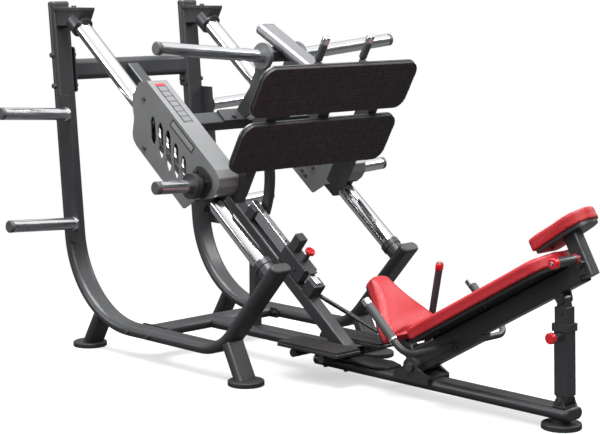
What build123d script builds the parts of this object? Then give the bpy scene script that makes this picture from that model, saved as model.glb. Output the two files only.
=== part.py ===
from build123d import *
import os
from math import sin, cos, tan, radians

# ---------------------------------------------------------------------------
# Plate-loaded incline leg press.
# Frame: +X toward the seat and head end, +Y across, +Z up. The origin is on the
# floor, at the centre of the tail foot disc, which lies on the symmetry plane.
# "Front" is the +X end of the side frames, "rear" their -X end; "left" is -Y.
# Side-view points are pairs (x, z). Their x is a station counted from the rear
# foot discs; every plane adds X0 to bring it into the frame.
# All lengths in millimetres, all angles in degrees.
# ---------------------------------------------------------------------------

TAIL_X = 2171.0        # station of the tail foot
X0 = -TAIL_X
SIDES = (-1, 1)
NAMED_SIDES = (("left", -1), ("right", 1))

# --- stock sizes -----------------------------------------------------------
TUBE_W = 95.0          # flat-oval tube: width
TUBE_T = 44.0          # and thickness
WALL = 3.0
BOLT_R = 6.0
BOLT_HOLE_R = BOLT_R + 0.5
HORN_R = 25.0
RUN = 0.05             # radial running clearance
BOARD_T = 12.0         # boards under the pads

# --- side frames -----------------------------------------------------------
FRAME_Y = 350.0        # centre plane of a side frame
INNER_Y = FRAME_Y - TUBE_W / 2
BASE_Z = 108.0         # axis height of the base run
BASE_TOP = BASE_Z + TUBE_T / 2
LEAN = 0.0912          # the upright leans toward -X by this slope
UP_TOP_Z = 1408.0
R_REAR = 390.0
R_FRONT = 230.0
FRONT_CORNER = (833.7, BASE_Z)
FRONT_END = (1140.0, 459.3)

# --- spines and cross beams ------------------------------------------------
SPINE_END_X = 2213.0
SPINE_Z = 57.0
SPINE_TOP = SPINE_Z + TUBE_T / 2
FRONT_SPINE_X1 = 1205.0
REAR_BEAM_Z = 1143.0
REAR_BEAM_W = TUBE_W - 8
BASE_BEAM_X = 364.0
BASE_BOLT_REACH = 66.0  # bolts either side of the base cross beam

# --- guide rails, given as (s down the rails, n square to them) ------------
RAIL_ANGLE = 38.33
RAIL_R = 33.0
RAIL_Y = 348.0
RAIL_N = 1017.0
RAIL_S0, RAIL_S1 = -881.0, 531.0

# --- inclines of the plates and pads ---------------------------------------
PLATE_ANGLE = 61.8
BACK_ANGLE = 29.8
SEAT_ANGLE = 42.0
HEAD_ANGLE = 33.2

# --- pivots and ends of moving parts ---------------------------------------
HINGE = (1530.0, 114.0)
HINGE_PIN_R = 11.0
POST_FOOT = (2184.0, 98.0)
POST_HEAD = (2172.0, 446.0)
LEVER_HINGE = (1396.0, 57.0)
LEVER_SHAFT_R = 12.0
ROD_A = (1416.0, 118.0)  # eye of the linkage rod
ROD_B = (860.0, 283.0)
ROD_R = 9.0
ROD_Y = 100.0
GRIP_TOP = (1518.0, 386.0)
GRIP_LOW = (1705.0, 217.7)


# ===========================================================================
# Directions, points and planes
# ===========================================================================
def axes(angle):
    """Unit vector at an angle above +X in the symmetry plane, and its normal."""
    rise = radians(angle)
    return Vector(cos(rise), 0, sin(rise)), Vector(-sin(rise), 0, cos(rise))


def slanted(first, second):
    """Function that turns distances along two directions into a side-view point."""
    def point(a, b):
        return (a * first.X + b * second.X, a * first.Z + b * second.Z)
    return point


DOWN_RAIL, OFF_RAIL = axes(-RAIL_ANGLE)
TO_USER, UP_PLATE = axes(PLATE_ANGLE - 90)
UP_BACK, OFF_BACK = axes(BACK_ANGLE)
DOWN_SEAT, OFF_SEAT = axes(-SEAT_ANGLE)
UP_HEAD, OFF_HEAD = axes(HEAD_ANGLE)
TO_SEAT = Vector(1, 0, 0)

rail = slanted(DOWN_RAIL, OFF_RAIL)
plate = slanted(TO_USER, UP_PLATE)
back = slanted(UP_BACK, OFF_BACK)
seat = slanted(DOWN_SEAT, OFF_SEAT)
head = slanted(UP_HEAD, OFF_HEAD)


def unit(start, end):
    """Unit vector from one side-view point to another."""
    return Vector(end[0] - start[0], 0, end[1] - start[1]).normalized()


def gap(start, end):
    """Distance between two side-view points."""
    return Vector(end[0] - start[0], 0, end[1] - start[1]).length


def shift(point, direction, distance):
    """Side-view point moved along a direction."""
    return (point[0] + direction.X * distance, point[1] + direction.Z * distance)


def place(point, y):
    """Side-view point brought into the frame at Y = y."""
    return (X0 + point[0], y, point[1])


def across(point, direction, y=0.0):
    """Plane whose normal is a direction of the symmetry plane; local x is +Y."""
    return Plane(origin=place(point, y), x_dir=(0, 1, 0), z_dir=direction)


def rail_section(s, n, y=0.0):
    """Plane square to the rails, facing down them."""
    return across(rail(s, n), DOWN_RAIL, y)


def rail_deck(s, n, y=0.0):
    """Plane parallel to the rails, facing up and out from them."""
    return across(rail(s, n), OFF_RAIL, y)


def crosswise(point, x_direction, y=0.0):
    """Plane facing +Y at a side-view point, with a chosen local x."""
    return Plane(origin=place(point, y), x_dir=x_direction, z_dir=(0, 1, 0))


def outward(point, y, sign, tilt=0.0):
    """Plane facing the side `sign`, tilted upward by an angle in radians."""
    return Plane(origin=place(point, y), x_dir=(1, 0, 0), z_dir=(0, sign * cos(tilt), sin(tilt)))


def side(y):
    """Plane of a side view at Y = y; local axes are X and Z, normal is -Y."""
    return Plane(origin=(X0, y, 0), x_dir=(1, 0, 0), z_dir=(0, -1, 0))


def level(z):
    """Horizontal plane at height z; local axes are X and Y."""
    return Plane(origin=(X0, 0, z), x_dir=(1, 0, 0), z_dir=(0, 0, 1))


def along(shape, direction):
    """Distance of a face or an edge along a direction of the symmetry plane."""
    return (shape.center() - Vector(X0, 0, 0)).dot(direction)


def face_edges(builder, direction, distance):
    """Edges of the faces that lie at a distance along a direction."""
    faces = [f for f in builder.faces() if abs(along(f, direction) - distance) < 0.5]
    return [e for f in faces for e in f.edges()]


def upright_x(z):
    return -106.0 - LEAN * (z - 475.0)


# ===========================================================================
# Shared shapes
# ===========================================================================
def save(builder, label):
    builder.part.label = label
    export_step(builder.part, f"parts/{label}.step")


def cylinder(plane, radius, length, at=(0, 0), mode=Mode.ADD, taper=0.0):
    """Round bar on a plane, in the part being built."""
    with BuildSketch(plane) as section:
        with Locations(at):
            Circle(radius)
    extrude(section.sketch, amount=length, taper=taper, mode=mode)


def bore(plane, radius, depth, at=(0, 0)):
    """Round hole from a plane, in the part being built."""
    cylinder(plane, radius, depth, at, mode=Mode.SUBTRACT)


def hollow_oval(width=TUBE_W):
    """Section of a flat-oval tube, in the sketch being drawn."""
    SlotOverall(width, TUBE_T)
    SlotOverall(width - 2 * WALL, TUBE_T - 2 * WALL, mode=Mode.SUBTRACT)


def horn_cap(plane, length):
    """Horn end cap: a straight part and a bevelled rim."""
    cylinder(plane, HORN_R, length)
    cylinder(plane.offset(length), HORN_R, 3, taper=45)


def dome(plane, height, width, thickness):
    """Crown of a moulded cap: three tapered steps on a flat-oval base."""
    for rise, taper in ((4.0, 16), (3.0, 42), (1.6, 66)):
        with BuildSketch(plane.offset(height)) as crown:
            SlotOverall(width, thickness)
        extrude(crown.sketch, amount=rise, taper=taper)
        inset = 2 * rise * tan(radians(taper))
        height, width, thickness = height + rise, width - inset, thickness - inset


def bend(corner, dir_in, dir_out, radius):
    """Start, middle and end of the arc that rounds a corner of a path."""
    half_turn = radians(dir_in.get_angle(dir_out)) / 2
    setback = radius * tan(half_turn)
    inward = (dir_out - dir_in).normalized()
    return (shift(corner, dir_in, -setback),
            shift(corner, inward, radius / cos(half_turn) - radius),
            shift(corner, dir_out, setback))


REAR_TOP = (upright_x(UP_TOP_Z), UP_TOP_Z)
REAR_CORNER = (upright_x(BASE_Z), BASE_Z)
DOWN_UPRIGHT = unit(REAR_TOP, REAR_CORNER)
UP_FRONT = unit(FRONT_CORNER, FRONT_END)
REAR_BEND = bend(REAR_CORNER, DOWN_UPRIGHT, TO_SEAT, R_REAR)
FRONT_BEND = bend(FRONT_CORNER, TO_SEAT, UP_FRONT, R_FRONT)


def frame_path(y):
    """Axis of a side frame tube, from the top of the upright to the front end."""
    with BuildLine() as path:
        Line(place(REAR_TOP, y), place(REAR_BEND[0], y))
        ThreePointArc(*[place(point, y) for point in REAR_BEND])
        Line(place(REAR_BEND[2], y), place(FRONT_BEND[0], y))
        ThreePointArc(*[place(point, y) for point in FRONT_BEND])
        Line(place(FRONT_BEND[2], y), place(FRONT_END, y))
    return path.wires()[0]


os.makedirs("parts", exist_ok=True)

# Solid side frames, only used to cope neighbouring pieces to the tubes
with BuildPart() as frame_envelope:
    for sign in SIDES:
        with BuildSketch(across(REAR_TOP, DOWN_UPRIGHT, sign * FRAME_Y)):
            SlotOverall(TUBE_W, TUBE_T)
        sweep(path=frame_path(sign * FRAME_Y))

# ===========================================================================
# Fixed frame
# ===========================================================================
FRAME_BOLTS = [
    (upright_x(1205.0), 1205.0), (upright_x(1078.0), 1078.0),
    (BASE_BEAM_X - BASE_BOLT_REACH, BASE_Z), (BASE_BEAM_X + BASE_BOLT_REACH, BASE_Z),
]
for side_name, sign in NAMED_SIDES:
    frame_y = sign * FRAME_Y
    with BuildPart() as side_frame:
        with BuildSketch(across(REAR_TOP, DOWN_UPRIGHT, frame_y)):
            hollow_oval()
        sweep(path=frame_path(frame_y))
        # through holes for the cross beam bolts
        with BuildSketch(side(frame_y + 60)):
            with Locations(*FRAME_BOLTS):
                Circle(BOLT_HOLE_R)
        extrude(amount=120, mode=Mode.SUBTRACT)
    save(side_frame, f"side_frame_{side_name}")

# push-in caps of the four tube ends and of the spine end, as (plane, rim height)
CAP_W, CAP_T = TUBE_W + 1, TUBE_T + 1
CAP_PLUG = 22.0
tube_ends = [(across(point, direction, sign * FRAME_Y), 9)
             for sign in SIDES
             for point, direction in ((REAR_TOP, -DOWN_UPRIGHT), (FRONT_END, UP_FRONT))]
tube_ends.append((across((SPINE_END_X, SPINE_Z), TO_SEAT), 4))
with BuildPart() as frame_end_caps:
    for end_plane, rim in tube_ends:
        with BuildSketch(end_plane):
            SlotOverall(CAP_W, CAP_T)
        extrude(amount=rim)
        dome(end_plane, rim, CAP_W, CAP_T)
        with BuildSketch(end_plane):
            SlotOverall(TUBE_W - 2 * WALL - 0.2, TUBE_T - 2 * WALL - 0.2)
        extrude(amount=-CAP_PLUG)
save(frame_end_caps, "frame_end_caps")

# legs between the base runs and the foot discs
FOOT_R = 70.0
FOOT_T = 20.0
FOOT_Y = 360.0
LEG_RUN_IN = 25.0      # extra length below the disc top, cut off level
# station of the foot disc, start and top of the leg axis
LEGS = [
    (0.0, (14.0, FOOT_T), (92.0, 150.0)),
    (967.0, (953.0, FOOT_T), (885.0, 150.0)),
]
with BuildPart() as frame_legs:
    for sign in SIDES:
        for _, leg_foot, leg_top in LEGS:
            leg_dir = unit(leg_foot, leg_top)
            leg_low = shift(leg_foot, leg_dir, -LEG_RUN_IN)
            with BuildSketch(across(leg_low, leg_dir, sign * (FOOT_Y - 6))):
                hollow_oval()
            extrude(amount=gap(leg_low, leg_top))
    # level cut at the discs
    with BuildSketch(level(FOOT_T)):
        Rectangle(4000, 1200)
    extrude(amount=-80, mode=Mode.SUBTRACT)
    add(frame_envelope.part, mode=Mode.SUBTRACT)
save(frame_legs, "frame_legs")

with BuildPart() as foot_pads:
    leg_feet = [(foot_x, sign * FOOT_Y) for foot_x, _, _ in LEGS for sign in SIDES]
    for foot_centre in leg_feet + [(TAIL_X, 0.0)]:
        cylinder(level(0), FOOT_R, FOOT_T, foot_centre)
    fillet(foot_pads.edges().filter_by(GeomType.CIRCLE).group_by(Axis.Z)[-1], 6)
    chamfer(foot_pads.edges().filter_by(GeomType.CIRCLE).group_by(Axis.Z)[0], 2)
    # short pedestal below the spine end
    cylinder(level(FOOT_T), 34, SPINE_Z - TUBE_T / 2 - FOOT_T, (TAIL_X, 0.0))
save(foot_pads, "foot_pads")

# cross beams between the side frames, with their bolting flanges
FLANGE_T = 6.0
BEAM_END_Y = INNER_Y - FLANGE_T
rear_beam_plane = crosswise((upright_x(REAR_BEAM_Z), REAR_BEAM_Z), -DOWN_UPRIGHT)
base_beam_plane = crosswise((BASE_BEAM_X, BASE_Z), TO_SEAT)
# name, plane, tube width, flange length and width, bolts along the flange
CROSS_BEAMS = (
    ("rear_cross_beam", rear_beam_plane, REAR_BEAM_W, 188, 44, (62.3, -65.3)),
    ("base_cross_beam", base_beam_plane, TUBE_W, 176, 42, (-BASE_BOLT_REACH, BASE_BOLT_REACH)),
)
for beam_name, beam_plane, beam_width, flange_l, flange_w, bolt_places in CROSS_BEAMS:
    with BuildPart() as cross_beam:
        with BuildSketch(beam_plane.offset(-BEAM_END_Y)):
            hollow_oval(beam_width)
        extrude(amount=2 * BEAM_END_Y)
        for sign in SIDES:
            with BuildSketch(beam_plane.offset(sign * (INNER_Y - 3) - 3)):
                RectangleRounded(flange_l, flange_w, 12)
                with Locations(*[(x, 0) for x in bolt_places]):
                    Circle(BOLT_HOLE_R, mode=Mode.SUBTRACT)
            extrude(amount=FLANGE_T)
    save(cross_beam, beam_name)

# solid cross beams, used for coping
with BuildPart() as base_beam_envelope:
    with BuildSketch(base_beam_plane.offset(-INNER_Y)):
        SlotOverall(TUBE_W, TUBE_T)
    extrude(amount=2 * INNER_Y)
with BuildPart() as rear_beam_envelope:
    with BuildSketch(rear_beam_plane.offset(-100)):
        SlotOverall(REAR_BEAM_W, TUBE_T)
    extrude(amount=200)

# front spine: from the base cross beam to below the incline beam foot
FRONT_SPINE_X0 = BASE_BEAM_X + 20
with BuildPart() as front_spine:
    with BuildSketch(across((FRONT_SPINE_X0, BASE_Z), TO_SEAT)):
        hollow_oval()
    extrude(amount=FRONT_SPINE_X1 - FRONT_SPINE_X0)
    add(base_beam_envelope.part, mode=Mode.SUBTRACT)
save(front_spine, "front_spine")

# rear spine: one tube lower, carries the seat hinge and the post foot
REAR_SPINE_X0 = 1012.0
with BuildPart() as rear_spine:
    with BuildSketch(across((REAR_SPINE_X0, SPINE_Z), TO_SEAT)):
        hollow_oval()
    extrude(amount=SPINE_END_X - REAR_SPINE_X0)
    # fixed shaft of the safety lever, with its shoulder
    cylinder(side(46), LEVER_SHAFT_R, -138, LEVER_HINGE)
    cylinder(side(46), 19, -38, LEVER_HINGE)
save(rear_spine, "rear_spine")

# incline beam, parallel to and below the rails
BEAM_W = 60.0
BEAM_TOP, BEAM_BOT = 825.0, 773.0
ROD_DIR = unit(ROD_A, ROD_B)
with BuildPart() as centre_beam:
    incline_plane = rail_section(-838, (BEAM_TOP + BEAM_BOT) / 2)
    with BuildSketch(incline_plane):
        RectangleRounded(BEAM_W, BEAM_TOP - BEAM_BOT, 7)
        RectangleRounded(BEAM_W - 6, BEAM_TOP - BEAM_BOT - 6, 4, mode=Mode.SUBTRACT)
    extrude(amount=1700)
    add(rear_beam_envelope.part, mode=Mode.SUBTRACT)
    # foot cut level on the spine
    with BuildSketch(level(BASE_TOP)):
        with Locations((1150, 0)):
            Rectangle(500, 200)
    extrude(amount=-200, mode=Mode.SUBTRACT)
    # drop the sliver behind the rear cross beam
    with BuildSketch(incline_plane.offset(-40)):
        Rectangle(100, 100)
    extrude(amount=50, mode=Mode.SUBTRACT)
    # bracket that guides the linkage rod
    with BuildSketch(rail_section(486, 798)):
        with Locations((73, -8)):
            RectangleRounded(90, 44, 6)
    extrude(amount=30)
    bore(across(ROD_A, ROD_DIR, ROD_Y), ROD_R + RUN, 700)
save(centre_beam, "centre_beam")

# vertical square post under the incline beam
POST_X = 631.0
POST_W = 38.0
with BuildPart() as centre_post:
    with BuildSketch(level(BASE_TOP)):
        with Locations((POST_X, 0)):
            RectangleRounded(POST_W, POST_W, 5)
            RectangleRounded(POST_W - 5, POST_W - 5, 3, mode=Mode.SUBTRACT)
    extrude(amount=500)
    with BuildSketch(rail_deck(0, BEAM_BOT)):
        Rectangle(300, 3000)
    extrude(amount=600, mode=Mode.SUBTRACT)
save(centre_post, "centre_post")

# splice plate between the two spines, and tread carriers
with BuildPart() as step_supports:
    with BuildSketch(level(SPINE_TOP)):
        with BuildLine():
            Polyline((1016, -50), (1240, -50), (1330, -62), (1400, -34),
                     (1400, 34), (1330, 62), (1240, 50), (1016, 50), close=True)
        make_face()
    extrude(amount=BASE_Z - SPINE_Z - TUBE_T)
    # two cross tubes carry the treads; the spine cut leaves a stub on each side
    for carrier_x in (1030.0, 1180.0):
        cylinder(side(176), 16.5, 352, (carrier_x, 104.5))
    with BuildSketch(across((950, BASE_Z), TO_SEAT)):
        SlotOverall(TUBE_W, TUBE_T)
    extrude(amount=FRONT_SPINE_X1 - 950, mode=Mode.SUBTRACT)
save(step_supports, "step_supports")

# one tread either side of the spine
TREAD_Z = 121.0
with BuildPart() as step_treads:
    for sign in SIDES:
        with BuildSketch(level(TREAD_Z)):
            with Locations((1108, sign * 115)):
                RectangleRounded(326, 133, 9)
        extrude(amount=12)
    chamfer(step_treads.edges().group_by(Axis.Z)[-1], 1.5)
save(step_treads, "step_treads")

# guide rails
for side_name, sign in NAMED_SIDES:
    with BuildPart() as guide_rail:
        with BuildSketch(rail_section(RAIL_S0, RAIL_N, sign * RAIL_Y)):
            Circle(RAIL_R)
            Circle(RAIL_R - 7, mode=Mode.SUBTRACT)
        extrude(amount=RAIL_S1 - RAIL_S0)
        chamfer(guide_rail.edges().filter_by(GeomType.CIRCLE).sort_by(SortBy.RADIUS)[-2:], 1.0)
    save(guide_rail, f"guide_rail_{side_name}")

# top brackets: saddle collar round the rail, top flange, web
BRACKET_TOP = 1402.0
with BuildPart() as rail_top_brackets:
    for sign in SIDES:
        rail_y = sign * RAIL_Y
        cylinder(rail_section(RAIL_S0 - 12, RAIL_N, rail_y), RAIL_R + 13, 52)
        with BuildSketch(side(rail_y + 33)):
            with BuildLine():
                Polyline((upright_x(1400) + 8, BRACKET_TOP), (9, BRACKET_TOP), (9, 1393),
                         (-14, 1352), (-60, 1330), (upright_x(1320) + 8, 1326), close=True)
            make_face()
        extrude(amount=66)
        with BuildSketch(level(BRACKET_TOP - 12)):
            with Locations((-90, rail_y)):
                RectangleRounded(198, 84, 20)
        extrude(amount=12)
    add(frame_envelope.part, mode=Mode.SUBTRACT)
    for sign in SIDES:
        # seat of the rail, a slip fit
        bore(rail_section(RAIL_S0, RAIL_N, sign * RAIL_Y), RAIL_R + RUN, 300)
        # relief under the flange, beyond the collar mouth
        bore(rail_section(RAIL_S0 + 40, RAIL_N, sign * RAIL_Y), RAIL_R + 14, 300)
save(rail_top_brackets, "rail_top_brackets")

# foot collars: cups that land the rails on the front bends
with BuildPart() as rail_foot_collars:
    for sign in SIDES:
        cylinder(rail_section(525, RAIL_N, sign * RAIL_Y), RAIL_R + 5.5, 25)
        cylinder(rail_section(550, RAIL_N, sign * RAIL_Y), RAIL_R + 2, 67)
    add(frame_envelope.part, mode=Mode.SUBTRACT)
    for sign in SIDES:
        rail_y = sign * RAIL_Y
        bore(rail_section(400, RAIL_N, rail_y), RAIL_R + RUN, RAIL_S1 - 400)
        # keep only the piece on the rail side of the bend tube
        with BuildSketch(across((FRONT_END[0] + 6, FRONT_END[1] + 8), UP_FRONT, rail_y)):
            Rectangle(300, 200)
        extrude(amount=200, mode=Mode.SUBTRACT)
        with BuildSketch(side(rail_y + 80)):
            with BuildLine():
                Polyline((1118, 300), (1300, 300), (1300, 560), (1240, 560), (1002, 304),
                         close=True)
            make_face()
        extrude(amount=160, mode=Mode.SUBTRACT)
save(rail_foot_collars, "rail_foot_collars")

# --- storage horns: edge plates on the uprights, horns, end caps -----------
STORE_TILT = radians(3.5)
STORE_Z = (965.5, 514.0)
STORE_Y0, STORE_Y1 = 385.0, 394.0      # faces of the edge plate
STORE_ROOT = 3.0                       # how far a horn starts inside the plate face
STORE_LENGTH = 318.0


def storage_horn_places():
    """Side, root point and root plane of each storage horn."""
    for sign in SIDES:
        for z in STORE_Z:
            root = (upright_x(z) + 66, z)
            yield sign, root, outward(root, sign * STORE_Y1, sign, STORE_TILT)


with BuildPart() as storage_horn_plates:
    for sign in SIDES:
        with BuildSketch(side(sign * STORE_Y0)):
            with BuildLine():
                Polyline((upright_x(1044), 1044), (upright_x(1044) + 83, 1044),
                         (upright_x(436) + 83, 436), (upright_x(436), 436), close=True)
            make_face()
        extrude(amount=-sign * (STORE_Y1 - STORE_Y0))
    add(frame_envelope.part, mode=Mode.SUBTRACT)
    for sign in SIDES:
        # drop the strip left on the -X side of the upright
        with BuildSketch(side(sign * 390 + 12)):
            with BuildLine():
                Polyline((upright_x(1060) - 200, 1060), (upright_x(1060) + 2, 1060),
                         (upright_x(420) + 2, 420), (upright_x(420) - 200, 420), close=True)
            make_face()
        extrude(amount=24, mode=Mode.SUBTRACT)
save(storage_horn_plates, "storage_horn_plates")

with BuildPart() as storage_horns:
    for sign, root, root_plane in storage_horn_places():
        cylinder(root_plane.offset(-STORE_ROOT), HORN_R, STORE_LENGTH)
        cylinder(root_plane.offset(-STORE_ROOT), HORN_R + 3.5, 13)
        # trim the tilted root flush with the plate
        with BuildSketch(side(sign * STORE_Y1)):
            with Locations(root):
                Rectangle(90, 90)
        extrude(amount=sign * 20, mode=Mode.SUBTRACT)
save(storage_horns, "storage_horns")

with BuildPart() as storage_horn_caps:
    for _, _, root_plane in storage_horn_places():
        horn_cap(root_plane.offset(STORE_LENGTH - STORE_ROOT), 12)
save(storage_horn_caps, "storage_horn_caps")

# --- stop bar above the incline beam, and its end blocks -------------------
BAR_W, BAR_N0, BAR_N1 = 28.0, 842.0, 890.0
BAR_MID = (BAR_N0 + BAR_N1) / 2
BAR_S0, BAR_S1 = 98.0, 566.0
HOLE_S0, HOLE_PITCH, HOLE_COUNT = 289.0, 41.0, 6
with BuildPart() as stop_bar:
    with BuildSketch(rail_section(BAR_S0, BAR_MID)):
        RectangleRounded(BAR_W, BAR_N1 - BAR_N0, 1.5)
    extrude(amount=BAR_S1 - BAR_S0)
    # local y of the deck plane runs up the rails
    with BuildSketch(rail_deck(0, BAR_N1)):
        with Locations(*[(0, -(HOLE_S0 + HOLE_PITCH * i)) for i in range(HOLE_COUNT)]):
            Circle(5.5)
    extrude(amount=-26, mode=Mode.SUBTRACT)
save(stop_bar, "stop_bar")

# start and end down the rails, width, top
BAR_BLOCKS = ((106.0, 146.0, 50.0, 876.0), (530.0, 580.0, BEAM_W, 884.0))
with BuildPart() as stop_bar_blocks:
    for start, end, width, top in BAR_BLOCKS:
        with BuildSketch(rail_section(start, (BEAM_TOP + top) / 2)):
            RectangleRounded(width, top - BEAM_TOP, 3)
        extrude(amount=end - start)
    with BuildSketch(rail_section(BAR_S0 - 10, (BAR_N0 + 900) / 2)):
        Rectangle(BAR_W, 900 - BAR_N0)
    extrude(amount=BAR_S1 - BAR_S0 + 10, mode=Mode.SUBTRACT)
save(stop_bar_blocks, "stop_bar_blocks")

# --- pivot bases on the rear spine -----------------------------------------
LUG_Y, LUG_T = 51.0, 10.0
hinge_x, hinge_z = HINGE
with BuildPart() as recline_hinge_base:
    with BuildSketch(level(SPINE_TOP)):
        with Locations((hinge_x, 0)):
            RectangleRounded(176, 122, 8)
    extrude(amount=8)
    # two round-topped lugs
    for sign in SIDES:
        with BuildSketch(side(sign * LUG_Y)):
            with BuildLine():
                Polyline((hinge_x - 84, SPINE_Z + 2), (hinge_x + 84, SPINE_Z + 2),
                         (hinge_x + 84, 88), (hinge_x + 36, hinge_z),
                         (hinge_x - 36, hinge_z), (hinge_x - 84, 88), close=True)
            make_face()
            with Locations(HINGE):
                Circle(36)
                Circle(HINGE_PIN_R, mode=Mode.SUBTRACT)
        extrude(amount=-sign * LUG_T)
    with BuildSketch(side(0)):
        with Locations(HINGE):
            Circle(HINGE_PIN_R)
    extrude(amount=80, both=True, mode=Mode.SUBTRACT)
    with BuildSketch(across((hinge_x - 200, SPINE_Z), TO_SEAT)):
        SlotOverall(TUBE_W, TUBE_T)
    extrude(amount=400, mode=Mode.SUBTRACT)
save(recline_hinge_base, "recline_hinge_base")

# foot clevis of the telescoping post
POST_PIVOT_R = 8.0
foot_x, foot_z = POST_FOOT
with BuildPart() as post_clevis_base:
    with BuildSketch(level(SPINE_TOP)):
        with Locations((foot_x, 0)):
            RectangleRounded(54, 78, 6)
    extrude(amount=4)
    for sign in SIDES:
        with BuildSketch(side(sign * 28)):
            with BuildLine():
                Polyline((foot_x - 26, SPINE_TOP), (foot_x + 26, SPINE_TOP),
                         (foot_x + 17, foot_z), (foot_x - 17, foot_z), close=True)
            make_face()
            with Locations(POST_FOOT):
                Circle(17)
        extrude(amount=-sign * 8)
    # pivot pin of the post foot
    cylinder(side(-40), POST_PIVOT_R, -80, POST_FOOT)
save(post_clevis_base, "post_clevis_base")

# hexagon bolts and nuts of the frame joints
WASHER_T = 2.5
with BuildPart() as frame_bolts:
    for sign in SIDES:
        for bolt in FRAME_BOLTS:
            head_plane = outward(bolt, sign * (FRAME_Y + TUBE_W / 2 + 3), sign)
            with BuildSketch(head_plane):
                RegularPolygon(10.5, 6)
            extrude(amount=7.5)
            cylinder(head_plane, 12.5, -WASHER_T)
            cylinder(head_plane, BOLT_R, -(TUBE_W + 3 + FLANGE_T + 16))
            with BuildSketch(outward(bolt, sign * BEAM_END_Y, -sign)):
                RegularPolygon(10.5, 6)
            extrude(amount=10)
        # flange screws on the top brackets
        with BuildSketch(level(BRACKET_TOP)):
            with Locations((-88, sign * RAIL_Y)):
                RegularPolygon(10, 6)
        extrude(amount=8)
    # screws under the splice of the two spines
    for x in (1050.0, 1160.0):
        with BuildSketch(level(SPINE_Z - TUBE_T / 2 - 7)):
            with Locations((x, -18), (x, 18)):
                RegularPolygon(9, 6)
        extrude(amount=7)
save(frame_bolts, "frame_bolts")

# ===========================================================================
# Carriage
# ===========================================================================
HOUSE_Y0, HOUSE_Y1 = 298.0, 398.0
SHEET = 5.0
# side outline of a housing
HOUSE_OUTLINE = [rail(s, n) for s, n in (
    (-384, 1124), (-351, 1158), (160, 1158), (196, 1147), (214, 1118), (216, 1085),
    (206, 1052), (182, 1026), (148, 992), (132, 952), (116, 912), (-244, 912),
    (-274, 919), (-294, 936), (-322, 989), (-368, 1030), (-384, 1060),
)]
# opening in the underside of a housing
HOUSE_OPENING = [rail(s, n) for s, n in (
    (-240, 925), (100, 925), (118, 952), (134, 1000), (160, 1030), (260, 1030),
    (260, 880), (-250, 880),
)]
# vertical slots of the outer plate: centre station, centre height, length
SLOTS = [(479, 933.5, 119), (525, 899, 144), (570, 862.5, 165), (615, 827, 142), (660, 803.5, 96)]
SLOT_HALF, SLOT_TILT, SLOT_POINT = 14.5, 2.3, 34.0
CORE_W = HOUSE_Y1 - HOUSE_Y0 - 2 * SHEET
for side_name, sign in NAMED_SIDES:
    with BuildPart() as housing:
        top_y = HOUSE_Y1 if sign > 0 else -HOUSE_Y0
        with BuildSketch(side(top_y)) as outline:
            with BuildLine():
                Polyline(*HOUSE_OUTLINE, close=True)
            make_face()
            fillet(outline.vertices(), 12)
        extrude(amount=HOUSE_Y1 - HOUSE_Y0)
        # folded sheet: open below, walls of one thickness
        with BuildSketch(side(top_y - SHEET)) as hollow:
            with BuildLine():
                Polyline(*HOUSE_OUTLINE, close=True)
            make_face()
            fillet(hollow.vertices(), 12)
            offset(amount=-SHEET)
        extrude(amount=CORE_W, mode=Mode.SUBTRACT)
        with BuildSketch(side(top_y - SHEET)):
            with BuildLine():
                Polyline(*HOUSE_OPENING, close=True)
            make_face()
        extrude(amount=CORE_W, mode=Mode.SUBTRACT)
        # mouths for the rail
        with BuildSketch(rail_section(-420, RAIL_N, sign * RAIL_Y)):
            RectangleRounded(86, 96, 20)
        extrude(amount=700, mode=Mode.SUBTRACT)
        with BuildSketch(side(sign * (HOUSE_Y1 - SHEET / 2) + SHEET)) as vents:
            for slot_x, slot_z, length in SLOTS:
                tip = length / 2 + 8
                shoulder = tip - SLOT_POINT
                with Locations((slot_x, slot_z)):
                    Polygon((0, tip), (-SLOT_HALF, shoulder), (-SLOT_HALF, -shoulder), (0, -tip),
                            (SLOT_HALF, -shoulder), (SLOT_HALF, shoulder), rotation=SLOT_TILT)
            fillet(vents.vertices(), 7.5)
        extrude(amount=2 * SHEET, mode=Mode.SUBTRACT)
    save(housing, f"carriage_housing_{side_name}")

# upper cross tube, square to the rails, and its solid for coping
UPPER_TUBE_S = -121.5
UPPER_TUBE_L, UPPER_TUBE_H = 63.0, 45.0        # along and square to the rails
HOUSE_TOP_N = 1158.0
upper_tube_plane = crosswise(rail(UPPER_TUBE_S, HOUSE_TOP_N - UPPER_TUBE_H / 2),
                             DOWN_RAIL, -HOUSE_Y0)
with BuildPart() as upper_cross_tube:
    with BuildSketch(upper_tube_plane):
        RectangleRounded(UPPER_TUBE_L, UPPER_TUBE_H, 5)
        RectangleRounded(UPPER_TUBE_L - 6, UPPER_TUBE_H - 6, 3, mode=Mode.SUBTRACT)
    extrude(amount=2 * HOUSE_Y0)
save(upper_cross_tube, "upper_cross_tube")
with BuildPart() as upper_tube_envelope:
    with BuildSketch(upper_tube_plane):
        RectangleRounded(UPPER_TUBE_L, UPPER_TUBE_H, 5)
    extrude(amount=2 * HOUSE_Y0)

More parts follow.
